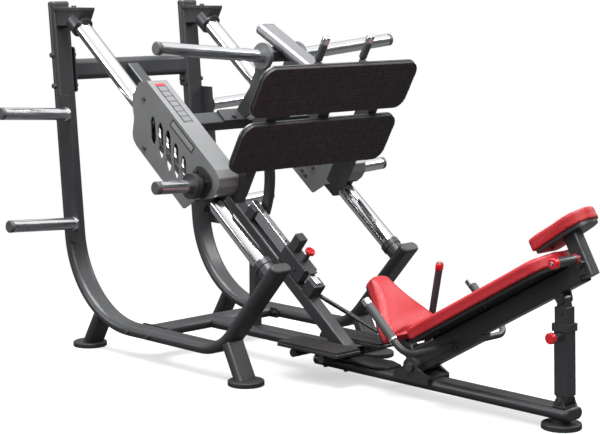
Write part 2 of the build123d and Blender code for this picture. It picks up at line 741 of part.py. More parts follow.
# linear bearings, two a side
LOWER_HORN = (754.0, 742.0)
BEARING_S = ((-300.0, -225.0), (122.0, 197.0))
with BuildPart() as linear_bearings:
    for sign in SIDES:
        for start, end in BEARING_S:
            with BuildSketch(rail_section(start, RAIL_N, sign * RAIL_Y)):
                RectangleRounded(85.9, 95.9, 20)
                Circle(RAIL_R + RUN, mode=Mode.SUBTRACT)
            extrude(amount=end - start)
        # round shoulder of the lower block, in line with the lower weight horn
        with BuildSketch(side(sign * RAIL_Y + 44.9)):
            with Locations(LOWER_HORN):
                Circle(44)
            with BuildLine():
                Polyline(rail(60, 1064), rail(220, 1064), rail(220, 980), rail(60, 980),
                         close=True)
            make_face(mode=Mode.SUBTRACT)
        extrude(amount=89.8)
save(linear_bearings, "linear_bearings")

# --- weight horns ----------------------------------------------------------
UPPER_ROOT = plate(107.0, 1446.0)
LOWER_ROOT = (LOWER_HORN[0], LOWER_HORN[1] + 2)
UP_TILT, LOW_TILT = radians(4.9), radians(2.8)
UP_FACE_Y, LOW_FACE_Y = 100.0, 450.0
UP_END_Y, LOW_END_Y = 626.0, 618.0
POST_PLATE_Y, POST_PLATE_T = 68.0, 10.0        # inner face and thickness of a post plate
# root, tilt, Y of the root, Y of the tip
WEIGHT_HORNS = ((UPPER_ROOT, UP_TILT, UP_FACE_Y, UP_END_Y),
                (LOWER_ROOT, LOW_TILT, LOW_FACE_Y, LOW_END_Y))


def weight_horn_places():
    """Root plane and bare length of each weight horn."""
    for sign in SIDES:
        for root, tilt, face_y, end_y in WEIGHT_HORNS:
            yield (outward(root, sign * face_y, sign, tilt),
                   (end_y - face_y - 10) / cos(tilt) - 10)


# upper horn brackets: foot and post plate each side, with a bush between
with BuildPart() as horn_brackets:
    for sign in SIDES:
        with BuildSketch(rail_deck(UPPER_TUBE_S, HOUSE_TOP_N, sign * 112)):
            RectangleRounded(128, 63, 3)
        extrude(amount=9)
        with BuildSketch(side(sign * POST_PLATE_Y)):
            with BuildLine():
                Polyline(rail(-146, 1167), rail(-91, 1167), plate(150, 1235),
                         plate(142, 1446), plate(72, 1446), plate(86, 1290), close=True)
            make_face()
            with Locations(UPPER_ROOT):
                Circle(35)
        extrude(amount=-sign * POST_PLATE_T)
    # bush, with the saddle that carries the mast
    with BuildSketch(side(POST_PLATE_Y)):
        with Locations(UPPER_ROOT):
            Circle(25)
        with BuildLine():
            Polyline(plate(86, 1450), plate(128, 1450), plate(128, 1474), plate(86, 1474),
                     close=True)
        make_face()
    extrude(amount=2 * POST_PLATE_Y)
save(horn_brackets, "horn_brackets")

with BuildPart() as weight_horns:
    for root_plane, horn_length in weight_horn_places():
        cylinder(root_plane, HORN_R, horn_length)
save(weight_horns, "weight_horns")

with BuildPart() as weight_horn_caps:
    for root_plane, horn_length in weight_horn_places():
        horn_cap(root_plane.offset(horn_length), 17)
save(weight_horn_caps, "weight_horn_caps")

# flanges at the horn roots, with their hubs
ROOT_T = 6.0
with BuildPart() as horn_flanges:
    for sign in SIDES:
        cylinder(outward(UPPER_ROOT, sign * UP_FACE_Y, sign, UP_TILT), 52, -17)
        cylinder(outward(LOWER_ROOT, sign * LOW_FACE_Y, sign, LOW_TILT), 49, -22)
        # root plate and hub between the housing plate and the flange
        with BuildSketch(side(sign * HOUSE_Y1)):
            with Locations(rail(129, 1066)):
                RectangleRounded(112, 112, 42, rotation=-RAIL_ANGLE)
        extrude(amount=-sign * ROOT_T)
        cylinder(side(sign * (HOUSE_Y1 + ROOT_T)), 36,
                 -sign * (LOW_FACE_Y - HOUSE_Y1 - ROOT_T - 10),
                 (LOWER_HORN[0], LOWER_HORN[1] + 1))
        cylinder(side(sign * (POST_PLATE_Y + POST_PLATE_T)), 34, -sign * 8, UPPER_ROOT)
save(horn_flanges, "horn_flanges")

# --- footplates: (w toward the user, v up the plates) ----------------------
# mast: oval tube square to the plates, capped at the end away from the user
MAST_V = 1496.0
MAST_START = plate(-6, MAST_V)
MAST_LENGTH = 429.0
MAST_CAP_STEP = 7.0
with BuildPart() as plate_mast:
    with BuildSketch(across(MAST_START, TO_USER)):
        hollow_oval()
    extrude(amount=MAST_LENGTH)
    with BuildSketch(across(MAST_START, -TO_USER)):
        SlotOverall(CAP_W, CAP_T)
    extrude(amount=MAST_CAP_STEP)
    with BuildSketch(across(MAST_START, -TO_USER).offset(MAST_CAP_STEP)):
        SlotOverall(CAP_W, CAP_T)
    extrude(amount=MAST_CAP_STEP, taper=35)
save(plate_mast, "plate_mast")

# two arms that carry both footplates, and a short centre upright under the mast
ARM_Y, ARM_W = 273.0, 50.0
CARRIER_W1 = 423.0                     # plane on which the footplates lie
MAST_UNDER = MAST_V - TUBE_T / 2
with BuildPart() as footplate_arms:
    for sign in SIDES:
        with BuildSketch(side(sign * ARM_Y + ARM_W / 2)):
            with BuildLine():
                Polyline(plate(363, 1520), plate(CARRIER_W1, 1545), plate(CARRIER_W1, 990),
                         plate(356, 1003), close=True)
            make_face()
        extrude(amount=ARM_W)
    with BuildSketch(side(30)):
        with BuildLine():
            Polyline(plate(360, MAST_UNDER), plate(CARRIER_W1, MAST_UNDER),
                     plate(CARRIER_W1, 1320), plate(360, 1345), close=True)
        make_face()
    extrude(amount=60)
    add(upper_tube_envelope.part, mode=Mode.SUBTRACT)
save(footplate_arms, "footplate_arms")

# footplates with their treads
PLATE_W, PLATE_H = 824.0, 213.0
PLATE_T = 8.0
TREAD_T = 14.5
PLATE_FACE = CARRIER_W1 + PLATE_T + TREAD_T
PLATE_V = (1249.5, 1491.5)             # centres up the plates
with BuildPart() as footplates:
    for centre_v in PLATE_V:
        with BuildSketch(across(plate(CARRIER_W1, centre_v), TO_USER)):
            RectangleRounded(PLATE_W, PLATE_H, 54)
        extrude(amount=PLATE_T)
save(footplates, "footplates")
with BuildPart() as footplate_treads:
    for centre_v in PLATE_V:
        with BuildSketch(across(plate(PLATE_FACE - TREAD_T, centre_v), TO_USER)):
            RectangleRounded(PLATE_W - 5, PLATE_H - 5, 52)
        extrude(amount=TREAD_T)
    fillet(face_edges(footplate_treads, TO_USER, PLATE_FACE), 3)
save(footplate_treads, "footplate_treads")

# curved stop arm, beside the stop bar
STOP_ARM_Y = 45.0
STOP_ARM_ARC = ((612, 930), (668, 700), (640, 586))
with BuildPart() as stop_arm:
    with BuildLine() as arm_path:
        ThreePointArc(*[place(point, STOP_ARM_Y) for point in STOP_ARM_ARC])
    arm_edge = arm_path.edges()[0]
    with BuildSketch(Plane(origin=arm_edge @ 0, x_dir=(0, 1, 0), z_dir=arm_edge % 0)):
        RectangleRounded(28, 44, 8)
    sweep(path=arm_path.wires()[0])
    add(upper_tube_envelope.part, mode=Mode.SUBTRACT)
save(stop_arm, "stop_arm")

# grab handles above the upper footplate
HANDLE_Y = 119.0
HANDLE_W = 400.0
with BuildPart() as carriage_handles:
    for sign in SIDES:
        handle_y = sign * HANDLE_Y
        cylinder(across(plate(HANDLE_W, 1560), UP_PLATE, handle_y), 9, 140)
        cylinder(across(plate(HANDLE_W, 1606), UP_PLATE, handle_y), 12.5, 76)
        with BuildSketch(across(plate(HANDLE_W + 11.5, 1576), TO_USER, handle_y)):
            RectangleRounded(21, 44, 5)
        extrude(amount=11.5)
        with BuildSketch(across(plate(HANDLE_W, 1576), TO_USER, handle_y)):
            RectangleRounded(19, 40, 4)
        extrude(amount=14)
save(carriage_handles, "carriage_handles")

# screws of the carriage; the outer ones as (x, z, height above the housing plate)
OUTER_SCREWS = [(423, 1055, 0), (425, 862, 0), (742, 800, ROOT_T), (797, 761, ROOT_T)]
INNER_SCREWS = [(595, 732), (616, 714), (660, 748)]
with BuildPart() as carriage_bolts:
    for sign in SIDES:
        for x, z, lift in OUTER_SCREWS:
            with BuildSketch(side(sign * (HOUSE_Y1 + lift))):
                with Locations((x, z)):
                    RegularPolygon(9, 6)
            extrude(amount=-sign * 6)
        with BuildSketch(rail_deck(-112, HOUSE_TOP_N + 9, sign * 118)):
            RegularPolygon(11, 6)
        extrude(amount=8)
        for screw in INNER_SCREWS:
            with BuildSketch(side(sign * HOUSE_Y0)):
                with Locations(screw):
                    RegularPolygon(8, 6)
            extrude(amount=sign * 6)
save(carriage_bolts, "carriage_bolts")

# ===========================================================================
# Stop collar on the bar
# ===========================================================================
STOP_PIN_S = 453.0
STOP_PIN_R = 5.0
with BuildPart() as stop_collar:
    with BuildSketch(rail_section(360, 864.5)):
        RectangleRounded(66, 71, 4)
    extrude(amount=143)
    # nose lip over the end block
    with BuildSketch(rail_section(500, 897)):
        Rectangle(40, 6)
    extrude(amount=20)
    with BuildSketch(rail_section(340, BAR_MID)):
        Rectangle(BAR_W + 2 * RUN, BAR_N1 - BAR_N0 + 2 * RUN)
    extrude(amount=200, mode=Mode.SUBTRACT)
    # open below, clear of the beam
    with BuildSketch(rail_section(340, 834)):
        Rectangle(BAR_W + 2 * RUN, 16)
    extrude(amount=200, mode=Mode.SUBTRACT)
    # guide sleeve of the pin
    cylinder(rail_deck(STOP_PIN_S, 898), 9, 37)
    bore(rail_deck(STOP_PIN_S, 885), STOP_PIN_R + RUN, 60)
    # clamp screw on the -Y cheek
    with BuildSketch(side(-33)):
        with Locations((892, 395)):
            RegularPolygon(9, 6)
    extrude(amount=6)
save(stop_collar, "stop_collar")

with BuildPart() as stop_bumper:
    with BuildSketch(rail_deck(383, 900)):
        RectangleRounded(40, 42, 4)
    extrude(amount=66)
    outward_axis = Axis((0, 0, 0), (OFF_RAIL.X, OFF_RAIL.Y, OFF_RAIL.Z))
    chamfer(stop_bumper.faces().sort_by(outward_axis)[-1].edges(), 2)
save(stop_bumper, "stop_bumper")

with BuildPart() as stop_pin:
    cylinder(rail_deck(STOP_PIN_S, 890.3), STOP_PIN_R, 58)
    cylinder(rail_deck(STOP_PIN_S, 941), 9, 6)
    cylinder(rail_deck(STOP_PIN_S, 945), 20, 15)
    fillet(stop_pin.edges().filter_by(GeomType.CIRCLE).sort_by(SortBy.RADIUS)[-2:], 4)
save(stop_pin, "stop_pin")

# ===========================================================================
# Safety lever and linkage rod
# ===========================================================================
LEVER_TOP = (1472.0, 470.0)
LEVER_Y = 165.0
with BuildPart() as safety_lever:
    cylinder(side(88), 20, -92, LEVER_HINGE)
    cylinder(across(LEVER_HINGE, unit(LEVER_HINGE, LEVER_TOP), LEVER_Y), 13.5,
             gap(LEVER_HINGE, LEVER_TOP))
    fillet(safety_lever.edges().filter_by(GeomType.CIRCLE).sort_by(Axis.Z)[-1], 8)
    # crank arm
    with BuildSketch(side(112)):
        with BuildLine():
            Polyline(
                (LEVER_HINGE[0] - 17, LEVER_HINGE[1] + 8),
                (LEVER_HINGE[0] + 19, LEVER_HINGE[1] - 4),
                (ROD_A[0] + 11, ROD_A[1] - 3), (ROD_A[0] - 11, ROD_A[1] + 3), close=True)
        make_face()
        with Locations(ROD_A):
            Circle(11.5)
    extrude(amount=-8)
    cylinder(side(90), 4, -24, ROD_A)
    bore(side(80), LEVER_SHAFT_R + RUN, -110, LEVER_HINGE)
save(safety_lever, "safety_lever")

with BuildPart() as linkage_rod:
    cylinder(across(shift(ROD_A, ROD_DIR, 10), ROD_DIR, ROD_Y), ROD_R, gap(ROD_A, ROD_B) + 10)
    cylinder(side(94), 15, -12, ROD_A)
    bore(side(80), 8, -40, ROD_A)
save(linkage_rod, "linkage_rod")

# ===========================================================================
# Backrest: (b up the back, m square to it)
# ===========================================================================
BB_M0, BB_M1 = -672.0, -601.0          # under and upper face of the back beam
BB_MID = (BB_M0 + BB_M1) / 2
BB_W = 60.0
KNUCKLE_HALF = 49.5
HP_B0, HP_B1, HP_W = 2213.0, 2273.0, 50.0   # head post: start, end along the back, width
HP_MID = (HP_B0 + HP_B1) / 2
HEAD_PIN = back(2246, -598)
HEAD_PIN_R = 5.0

with BuildPart() as recline_pin:
    cylinder(side(-68), HINGE_PIN_R, -136, HINGE)
    for sign in SIDES:
        cylinder(side(sign * (LUG_Y + LUG_T)), 17, -sign * 9, HINGE)
save(recline_pin, "recline_pin")


def back_core(length):
    """Solid back beam of a given length, with its shoe and pivot knuckle."""
    with BuildPart() as core:
        with BuildSketch(across(back(1400, BB_MID), UP_BACK)):
            RectangleRounded(BB_W, BB_M1 - BB_M0, 8)
        extrude(amount=length)
        # stiffening shoe under the lower end
        with BuildSketch(side(28)):
            with BuildLine():
                Polyline(back(1386, -640), back(1725, -640), back(1725, -676), back(1700, -690),
                         back(1400, -690), back(1386, -680), close=True)
            make_face()
        extrude(amount=56)
        cylinder(side(KNUCKLE_HALF), 26, 2 * KNUCKLE_HALF, HINGE)
    return core.part


with BuildSketch(across(back(HP_MID, -596.6), OFF_BACK)) as head_post_pocket:
    Rectangle(HP_W + 2 * RUN, HP_B1 - HP_B0 + 2 * RUN)

with BuildPart() as back_beam:
    add(back_core(821))
    bore(side(80), HINGE_PIN_R + RUN, 160, HINGE)
    # hollow of the tube, with a drain hole
    with BuildSketch(across(back(1450, BB_MID), UP_BACK)):
        RectangleRounded(BB_W - 6, BB_M1 - BB_M0 - 6, 5)
    extrude(amount=755, mode=Mode.SUBTRACT)
    bore(across(back(1900, BB_M0 - 5), OFF_BACK), 4, 20)
    # three-sided socket of the head post
    with BuildSketch(across(back(2206, -628), UP_BACK)):
        RectangleRounded(62, 54, 5)
    extrude(amount=45)
    extrude(head_post_pocket.sketch, amount=200, both=True, mode=Mode.SUBTRACT)
    # cross barrel of the head-post plunger, and its block; cut clear of the post
    cylinder(side(-30), 17, 118, HEAD_PIN)
    with BuildSketch(side(-HP_W / 2 - 0.05)):
        with Locations(back(2246, -611)):
            Rectangle(34, 30, rotation=-BACK_ANGLE)
    extrude(amount=20)
    extrude(head_post_pocket.sketch, amount=200, both=True, mode=Mode.SUBTRACT)
    bore(side(-20), HEAD_PIN_R + RUN, 150, HEAD_PIN)
    # ears and pin of the telescoping post
    for sign in SIDES:
        with BuildSketch(side(sign * 26.5 + 3.5)):
            with BuildLine():
                Polyline(back(2088, -668), back(2126, -668), back(2120, -692.4),
                         back(2094, -692.4), close=True)
            make_face()
            with Locations(POST_HEAD):
                Circle(13)
        extrude(amount=7)
    cylinder(side(-33), 6, -66, POST_HEAD)
    # lugs that take the hand grips
    for sign in SIDES:
        cylinder(side(sign * BB_W / 2), 20, -sign * 5, GRIP_LOW)
save(back_beam, "back_beam")

# seat frame: (t down the seat, d square to it)
SEAT_TUBE_D = 1110.0
with BuildPart() as seat_frame:
    with BuildSketch(across(seat(715, SEAT_TUBE_D), DOWN_SEAT)):
        RectangleRounded(50, 50, 6)
        RectangleRounded(44, 44, 3, mode=Mode.SUBTRACT)
    extrude(amount=330)
    # end plate
    with BuildSketch(across(seat(712, SEAT_TUBE_D), DOWN_SEAT)):
        RectangleRounded(50, 50, 6)
    extrude(amount=6)
    # cross bearers under the pad board
    for bearer_t, bearer_w in ((790.0, 96), (930.0, 230)):
        with BuildSketch(across(seat(bearer_t, 1132), OFF_SEAT)):
            Rectangle(bearer_w, 34)
        extrude(amount=3)
    # gusset to the back beam
    with BuildSketch(side(5)):
        with BuildLine():
            Polyline(seat(985, 1130), seat(1000, 1090), back(1460, -640), back(1490, -602),
                     close=True)
        make_face()
    extrude(amount=10)
    add(back_core(500), mode=Mode.SUBTRACT)
save(seat_frame, "seat_frame")

# --- upholstery ------------------------------------------------------------
# distance down the seat, half width
SEAT_HALF = [(700, 45), (740, 60), (800, 85), (860, 118), (920, 145), (968, 155)]
SEAT_NOSE = 690.0
SEAT_TOP, SEAT_BOT = 1189.0, 1147.0
BACK_B0, BACK_B1 = 1497.0, 2202.0
BACK_TOP, BACK_BOT = -545.0, BB_M1 + BOARD_T
BOARD_B0, BOARD_B1 = 1505.0, 2190.0
PAD_HALF = 145.0


def seat_sketch(d, inset):
    """Outline of the seat at distance d, drawn in from the pad edge by an inset."""
    with BuildSketch(across(seat(0, d), OFF_SEAT)) as outline:
        with BuildLine():
            # local y of this plane runs up the seat
            pts = [(w - inset, -(t if t < 960 else t - inset)) for t, w in SEAT_HALF]
            ThreePointArc((-pts[0][0], pts[0][1]), (0, -(SEAT_NOSE + inset)), pts[0])
            Spline(*pts[:-1])
            Line(pts[-2], pts[-1])
            Line(pts[-1], (-pts[-1][0], pts[-1][1]))
            Line((-pts[-1][0], pts[-1][1]), (-pts[-2][0], pts[-2][1]))
            Spline(*[(-x, y) for x, y in reversed(pts[:-1])])
        make_face()
        fillet([v for v in outline.vertices() if v.Y < -(950 - inset)], 14)
    return outline.sketch


def round_back_corners(builder, upper_radius, lower_radius):
    """Round the corners of a back pad or board, first the upper pair."""
    ends = [e for e in builder.edges() if abs(e.tangent_at(0.5).dot(OFF_BACK)) > 0.99]
    fillet([e for e in ends if along(e, UP_BACK) > 1800], upper_radius)
    ends = [e for e in builder.edges()
            if abs(e.tangent_at(0.5).dot(OFF_BACK)) > 0.99 and along(e, UP_BACK) < 1600]
    fillet(ends, lower_radius)


with BuildPart() as seat_pad:
    extrude(seat_sketch(SEAT_BOT, 0), amount=SEAT_TOP - SEAT_BOT)
    fillet(face_edges(seat_pad, OFF_SEAT, SEAT_TOP), 8)
save(seat_pad, "seat_pad")

with BuildPart() as back_pad:
    with BuildSketch(across(back((BACK_B0 + BACK_B1) / 2, BACK_BOT), OFF_BACK)):
        Rectangle(2 * PAD_HALF, BACK_B1 - BACK_B0)
    extrude(amount=BACK_TOP - BACK_BOT)
    round_back_corners(back_pad, 105, 20)
    fillet(face_edges(back_pad, OFF_BACK, BACK_TOP), 8)
save(back_pad, "back_pad")

with BuildPart() as pad_boards:
    with BuildSketch(across(back((BOARD_B0 + BOARD_B1) / 2, BB_M1), OFF_BACK)):
        Rectangle(2 * (PAD_HALF - 9), BOARD_B1 - BOARD_B0)
    extrude(amount=BOARD_T)
    round_back_corners(pad_boards, 97, 14)
    extrude(seat_sketch(SEAT_BOT - BOARD_T, 9), amount=BOARD_T)
save(pad_boards, "pad_boards")

# --- hand grips beside the seat --------------------------------------------
GRIP_Y = 283.0
GRIP_BAR_R = 12.5
GRIP_DIR = unit(GRIP_TOP, GRIP_LOW)
with BuildPart() as seat_handles:
    for sign in SIDES:
        with BuildLine() as grip_path:
            FilletPolyline(place(GRIP_TOP, sign * GRIP_Y), place(GRIP_LOW, sign * GRIP_Y),
                           place(GRIP_LOW, sign * 35), radius=55)
        first_edge = grip_path.edges()[0]
        with BuildSketch(Plane(origin=first_edge @ 0, z_dir=first_edge % 0)):
            Circle(GRIP_BAR_R)
        sweep(path=grip_path.wires()[0])
save(seat_handles, "seat_handles")

with BuildPart() as handle_grips:
    for sign in SIDES:
        grip_y = sign * GRIP_Y
        with BuildSketch(across(shift(GRIP_TOP, GRIP_DIR, 16), GRIP_DIR, grip_y)):
            Circle(16)
            Circle(GRIP_BAR_R, mode=Mode.SUBTRACT)
        extrude(amount=164)
        # closed end
        cylinder(across(shift(GRIP_TOP, GRIP_DIR, -8), GRIP_DIR, grip_y), 16.5, 24)
        bore(across(GRIP_TOP, GRIP_DIR, grip_y), GRIP_BAR_R, 60)
save(handle_grips, "handle_grips")

# --- head rest: (h up the head pad, k square to it) ------------------------
HEAD_BOT, HEAD_TOP = -633.0, -589.0
HEAD_H0, HEAD_H1, HEAD_HALF, HEAD_CROWN = 2071.0, 2236.0, 70.0, 84.0
HP_FOOT = across(back(HP_MID, -664), OFF_BACK)


def head_sketch(k, inset):
    """Outline of the head pad: straight sides, rounded upper end."""
    with BuildSketch(across(head(HEAD_H1, k), OFF_HEAD)) as outline:
        # local y of this plane runs down the head pad
        half, length = HEAD_HALF - inset, HEAD_H1 - HEAD_H0 - inset
        with Locations((0, length / 2)):
            Rectangle(2 * half, length)
        Ellipse(half, HEAD_CROWN - inset)
        fillet([v for v in outline.vertices() if v.Y > length - 1], 18)
    return outline.sketch


with BuildPart() as head_post:
    with BuildSketch(HP_FOOT):
        RectangleRounded(HP_W, HP_B1 - HP_B0, 14)
        RectangleRounded(HP_W - 6, HP_B1 - HP_B0 - 6, 11, mode=Mode.SUBTRACT)
    extrude(amount=165)
    # closed foot
    with BuildSketch(HP_FOOT):
        RectangleRounded(HP_W, HP_B1 - HP_B0, 14)
    extrude(amount=3)
    # cut to the slope of the head board
    with BuildSketch(across(head(2270, HEAD_BOT - BOARD_T), OFF_HEAD)):
        Rectangle(300, 600)
    extrude(amount=200, mode=Mode.SUBTRACT)
    extrude(head_sketch(HEAD_BOT - BOARD_T, 8), amount=BOARD_T)
save(head_post, "head_post")

with BuildPart() as head_pad:
    extrude(head_sketch(HEAD_BOT, 0), amount=HEAD_TOP - HEAD_BOT)
    fillet(face_edges(head_pad, OFF_HEAD, HEAD_TOP), 8)
save(head_pad, "head_pad")

with BuildPart() as head_pin:
    cylinder(side(-HP_W / 2 - 0.3), HEAD_PIN_R, 124.5, HEAD_PIN)
    cylinder(side(-148.5), 19, 23.5, HEAD_PIN)
    fillet(head_pin.edges().filter_by(GeomType.CIRCLE).sort_by(SortBy.RADIUS)[-2:], 4)
save(head_pin, "head_pin")

# ===========================================================================
# Telescoping post
# ===========================================================================
UP_POST = unit(POST_FOOT, POST_HEAD)
PLUNGER_R = 6.0
INNER_W, INNER_L = 43.9, 53.9          # inner tube: across and in the side view
POST_EYE_R = 8.6                       # eye at the post head


def post(distance):
    """Point at a distance up the post from its foot pivot."""
    return shift(POST_FOOT, UP_POST, distance)


POST_PIN = post(226.0)
with BuildPart() as post_outer:
    with BuildSketch(across(post(20), UP_POST)):
        RectangleRounded(50, 60, 6)
    extrude(amount=248)
    # thicker mouth collar
    with BuildSketch(across(post(242), UP_POST)):
        RectangleRounded(60, 70, 6)
    extrude(amount=26)
    # foot eye
    foot_top = post(26)
    with BuildSketch(side(24)):
        with BuildLine():
            Polyline((foot_top[0] - 26, foot_top[1]), (foot_top[0] + 26, foot_top[1]),
                     (foot_x + 13.5, foot_z), (foot_x - 13.5, foot_z), close=True)
        make_face()
        with Locations(POST_FOOT):
            Circle(13.5)
    extrude(amount=48)
    # bore of the inner tube
    with BuildSketch(across(post(30), UP_POST)):
        Rectangle(44, 54)
    extrude(amount=300, mode=Mode.SUBTRACT)
    bore(side(40), POST_PIVOT_R + RUN, 80, POST_FOOT)
    # plunger boss on the -Y face
    cylinder(side(-24), 14, 16, POST_PIN)
    bore(side(-20), PLUNGER_R + RUN, 30, POST_PIN)
save(post_outer, "post_outer")

with BuildPart() as post_inner:
    with BuildSketch(across(post(130), UP_POST)):
        RectangleRounded(INNER_W, INNER_L, 3)
        RectangleRounded(INNER_W - 6, INNER_L - 6, 2, mode=Mode.SUBTRACT)
    extrude(amount=194)
    # closed top
    with BuildSketch(across(post(318), UP_POST)):
        RectangleRounded(INNER_W, INNER_L, 3)
    extrude(amount=6)
    # head eye
    neck = post(320)
    with BuildSketch(side(18)):
        with BuildLine():
            Polyline(neck, (neck[0] + 20, neck[1]), (POST_HEAD[0] + 15, POST_HEAD[1]),
                     (POST_HEAD[0] - 15, POST_HEAD[1]), (neck[0] - 20, neck[1]), close=True)
        make_face()
        with Locations(POST_HEAD):
            Circle(15.5)
            Circle(POST_EYE_R, mode=Mode.SUBTRACT)
    extrude(amount=36)
    bore(side(20), POST_EYE_R, 40, POST_HEAD)
    # cross screw
    with BuildSketch(side(-21.9)):
        with Locations(post(306)):
            RegularPolygon(9, 6)
    extrude(amount=6)
save(post_inner, "post_inner")

with BuildPart() as post_pin:
    cylinder(side(-22.4), PLUNGER_R, 50, POST_PIN)
    cylinder(side(-41), 9, 27, POST_PIN)
    cylinder(side(-66), 20, 20, POST_PIN)
    fillet(post_pin.edges().filter_by(GeomType.CIRCLE).sort_by(SortBy.RADIUS)[-2:], 5)
save(post_pin, "post_pin")
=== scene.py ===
# Incline leg press with a foot plate carriage, an adjustable backrest and headrest.
# Metres, +Z up, length along X, symmetry plane Y = 0, left side at -Y. The tail foot
# is at the origin and the rear foot discs stand at X = -2.171.
import bpy
import numpy as np
from math import sin, cos, radians, pi, hypot
from mathutils import Vector, Matrix


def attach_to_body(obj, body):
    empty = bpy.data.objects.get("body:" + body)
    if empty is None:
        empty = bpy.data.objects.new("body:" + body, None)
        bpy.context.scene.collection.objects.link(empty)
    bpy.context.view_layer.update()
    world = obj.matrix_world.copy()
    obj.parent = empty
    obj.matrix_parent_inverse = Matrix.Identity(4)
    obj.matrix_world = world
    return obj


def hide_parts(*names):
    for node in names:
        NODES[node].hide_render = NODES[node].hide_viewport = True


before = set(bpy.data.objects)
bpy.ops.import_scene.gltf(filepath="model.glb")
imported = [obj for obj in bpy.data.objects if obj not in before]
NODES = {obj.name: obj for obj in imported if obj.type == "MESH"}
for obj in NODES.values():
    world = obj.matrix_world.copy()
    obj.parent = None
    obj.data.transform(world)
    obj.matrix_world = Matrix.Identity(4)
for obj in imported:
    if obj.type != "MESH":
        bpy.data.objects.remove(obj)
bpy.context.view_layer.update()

# --------------------------------------------------------------------------
# Directions and places
# --------------------------------------------------------------------------
mm = 0.001
REAR_FEET = Vector((-2.171, 0, 0))  # the point all stations are measured from
ACROSS = Vector((0, 1, 0))
LEFT = Vector((0, -1, 0))
SIDES = (("left", -1), ("right", 1))


def slope(degrees):
    """Unit vectors along a line that rises toward +X, and at right angles above it."""
    angle = radians(degrees)
    return Vector((cos(angle), 0, sin(angle))), Vector((-sin(angle), 0, cos(angle)))


RAIL, RAIL_UP = slope(-38.33)
PLATE_UP = slope(61.8)[0]
PLATE_OUT = ACROSS.cross(PLATE_UP)
BACK, BACK_UP = slope(29.8)
SEAT_UP = slope(-42.0)[1]
HEAD, HEAD_UP = slope(33.2)


def at(first, first_mm, second, second_mm, across_mm=0.0):
    """Point reached from the rear feet by millimetres along two directions and across."""
    return REAR_FEET + first * (first_mm * mm) + second * (second_mm * mm) + ACROSS * (across_mm * mm)


def station(x, y, z):
    """Point given in metres from the rear feet."""
    return REAR_FEET + Vector((x, y, z))


# --------------------------------------------------------------------------
# Node building
# --------------------------------------------------------------------------
def srgb(*levels):
    """Linear colour from 0..255 sRGB levels."""
    def linear(level):
        level /= 255.0
        return level / 12.92 if level <= 0.04045 else ((level + 0.055) / 1.055) ** 2.4
    return tuple(linear(level) for level in levels) + (1.0,)


def shade(color, factor, lift=0.0):
    return tuple(min(1, c * factor + lift) for c in color[:3]) + (1,)


class Nodes:
    """Adds nodes to a tree; an input may be a plain value or another node's output."""

    def __init__(self, tree):
        self.tree = tree
        tree.nodes.clear()

    def feed(self, socket, value):
        if isinstance(value, bpy.types.NodeSocket):
            self.tree.links.new(value, socket)
        else:
            socket.default_value = value

    def add(self, kind, inputs=None, **settings):
        node = self.tree.nodes.new(kind)
        for key, value in settings.items():
            setattr(node, key, value)
        for key, value in (inputs or {}).items():
            self.feed(node.inputs[key], value)
        return node

    def value(self, kind, inputs=None, output=0, **settings):
        return self.add(kind, inputs, **settings).outputs[output]

    def camera_switch(self, others, camera):
        """Shader that the camera sees as one thing and all other rays as another."""
        seen = self.value("ShaderNodeLightPath", output="Is Camera Ray")
        return self.value("ShaderNodeMixShader", {0: seen, 1: others, 2: camera})


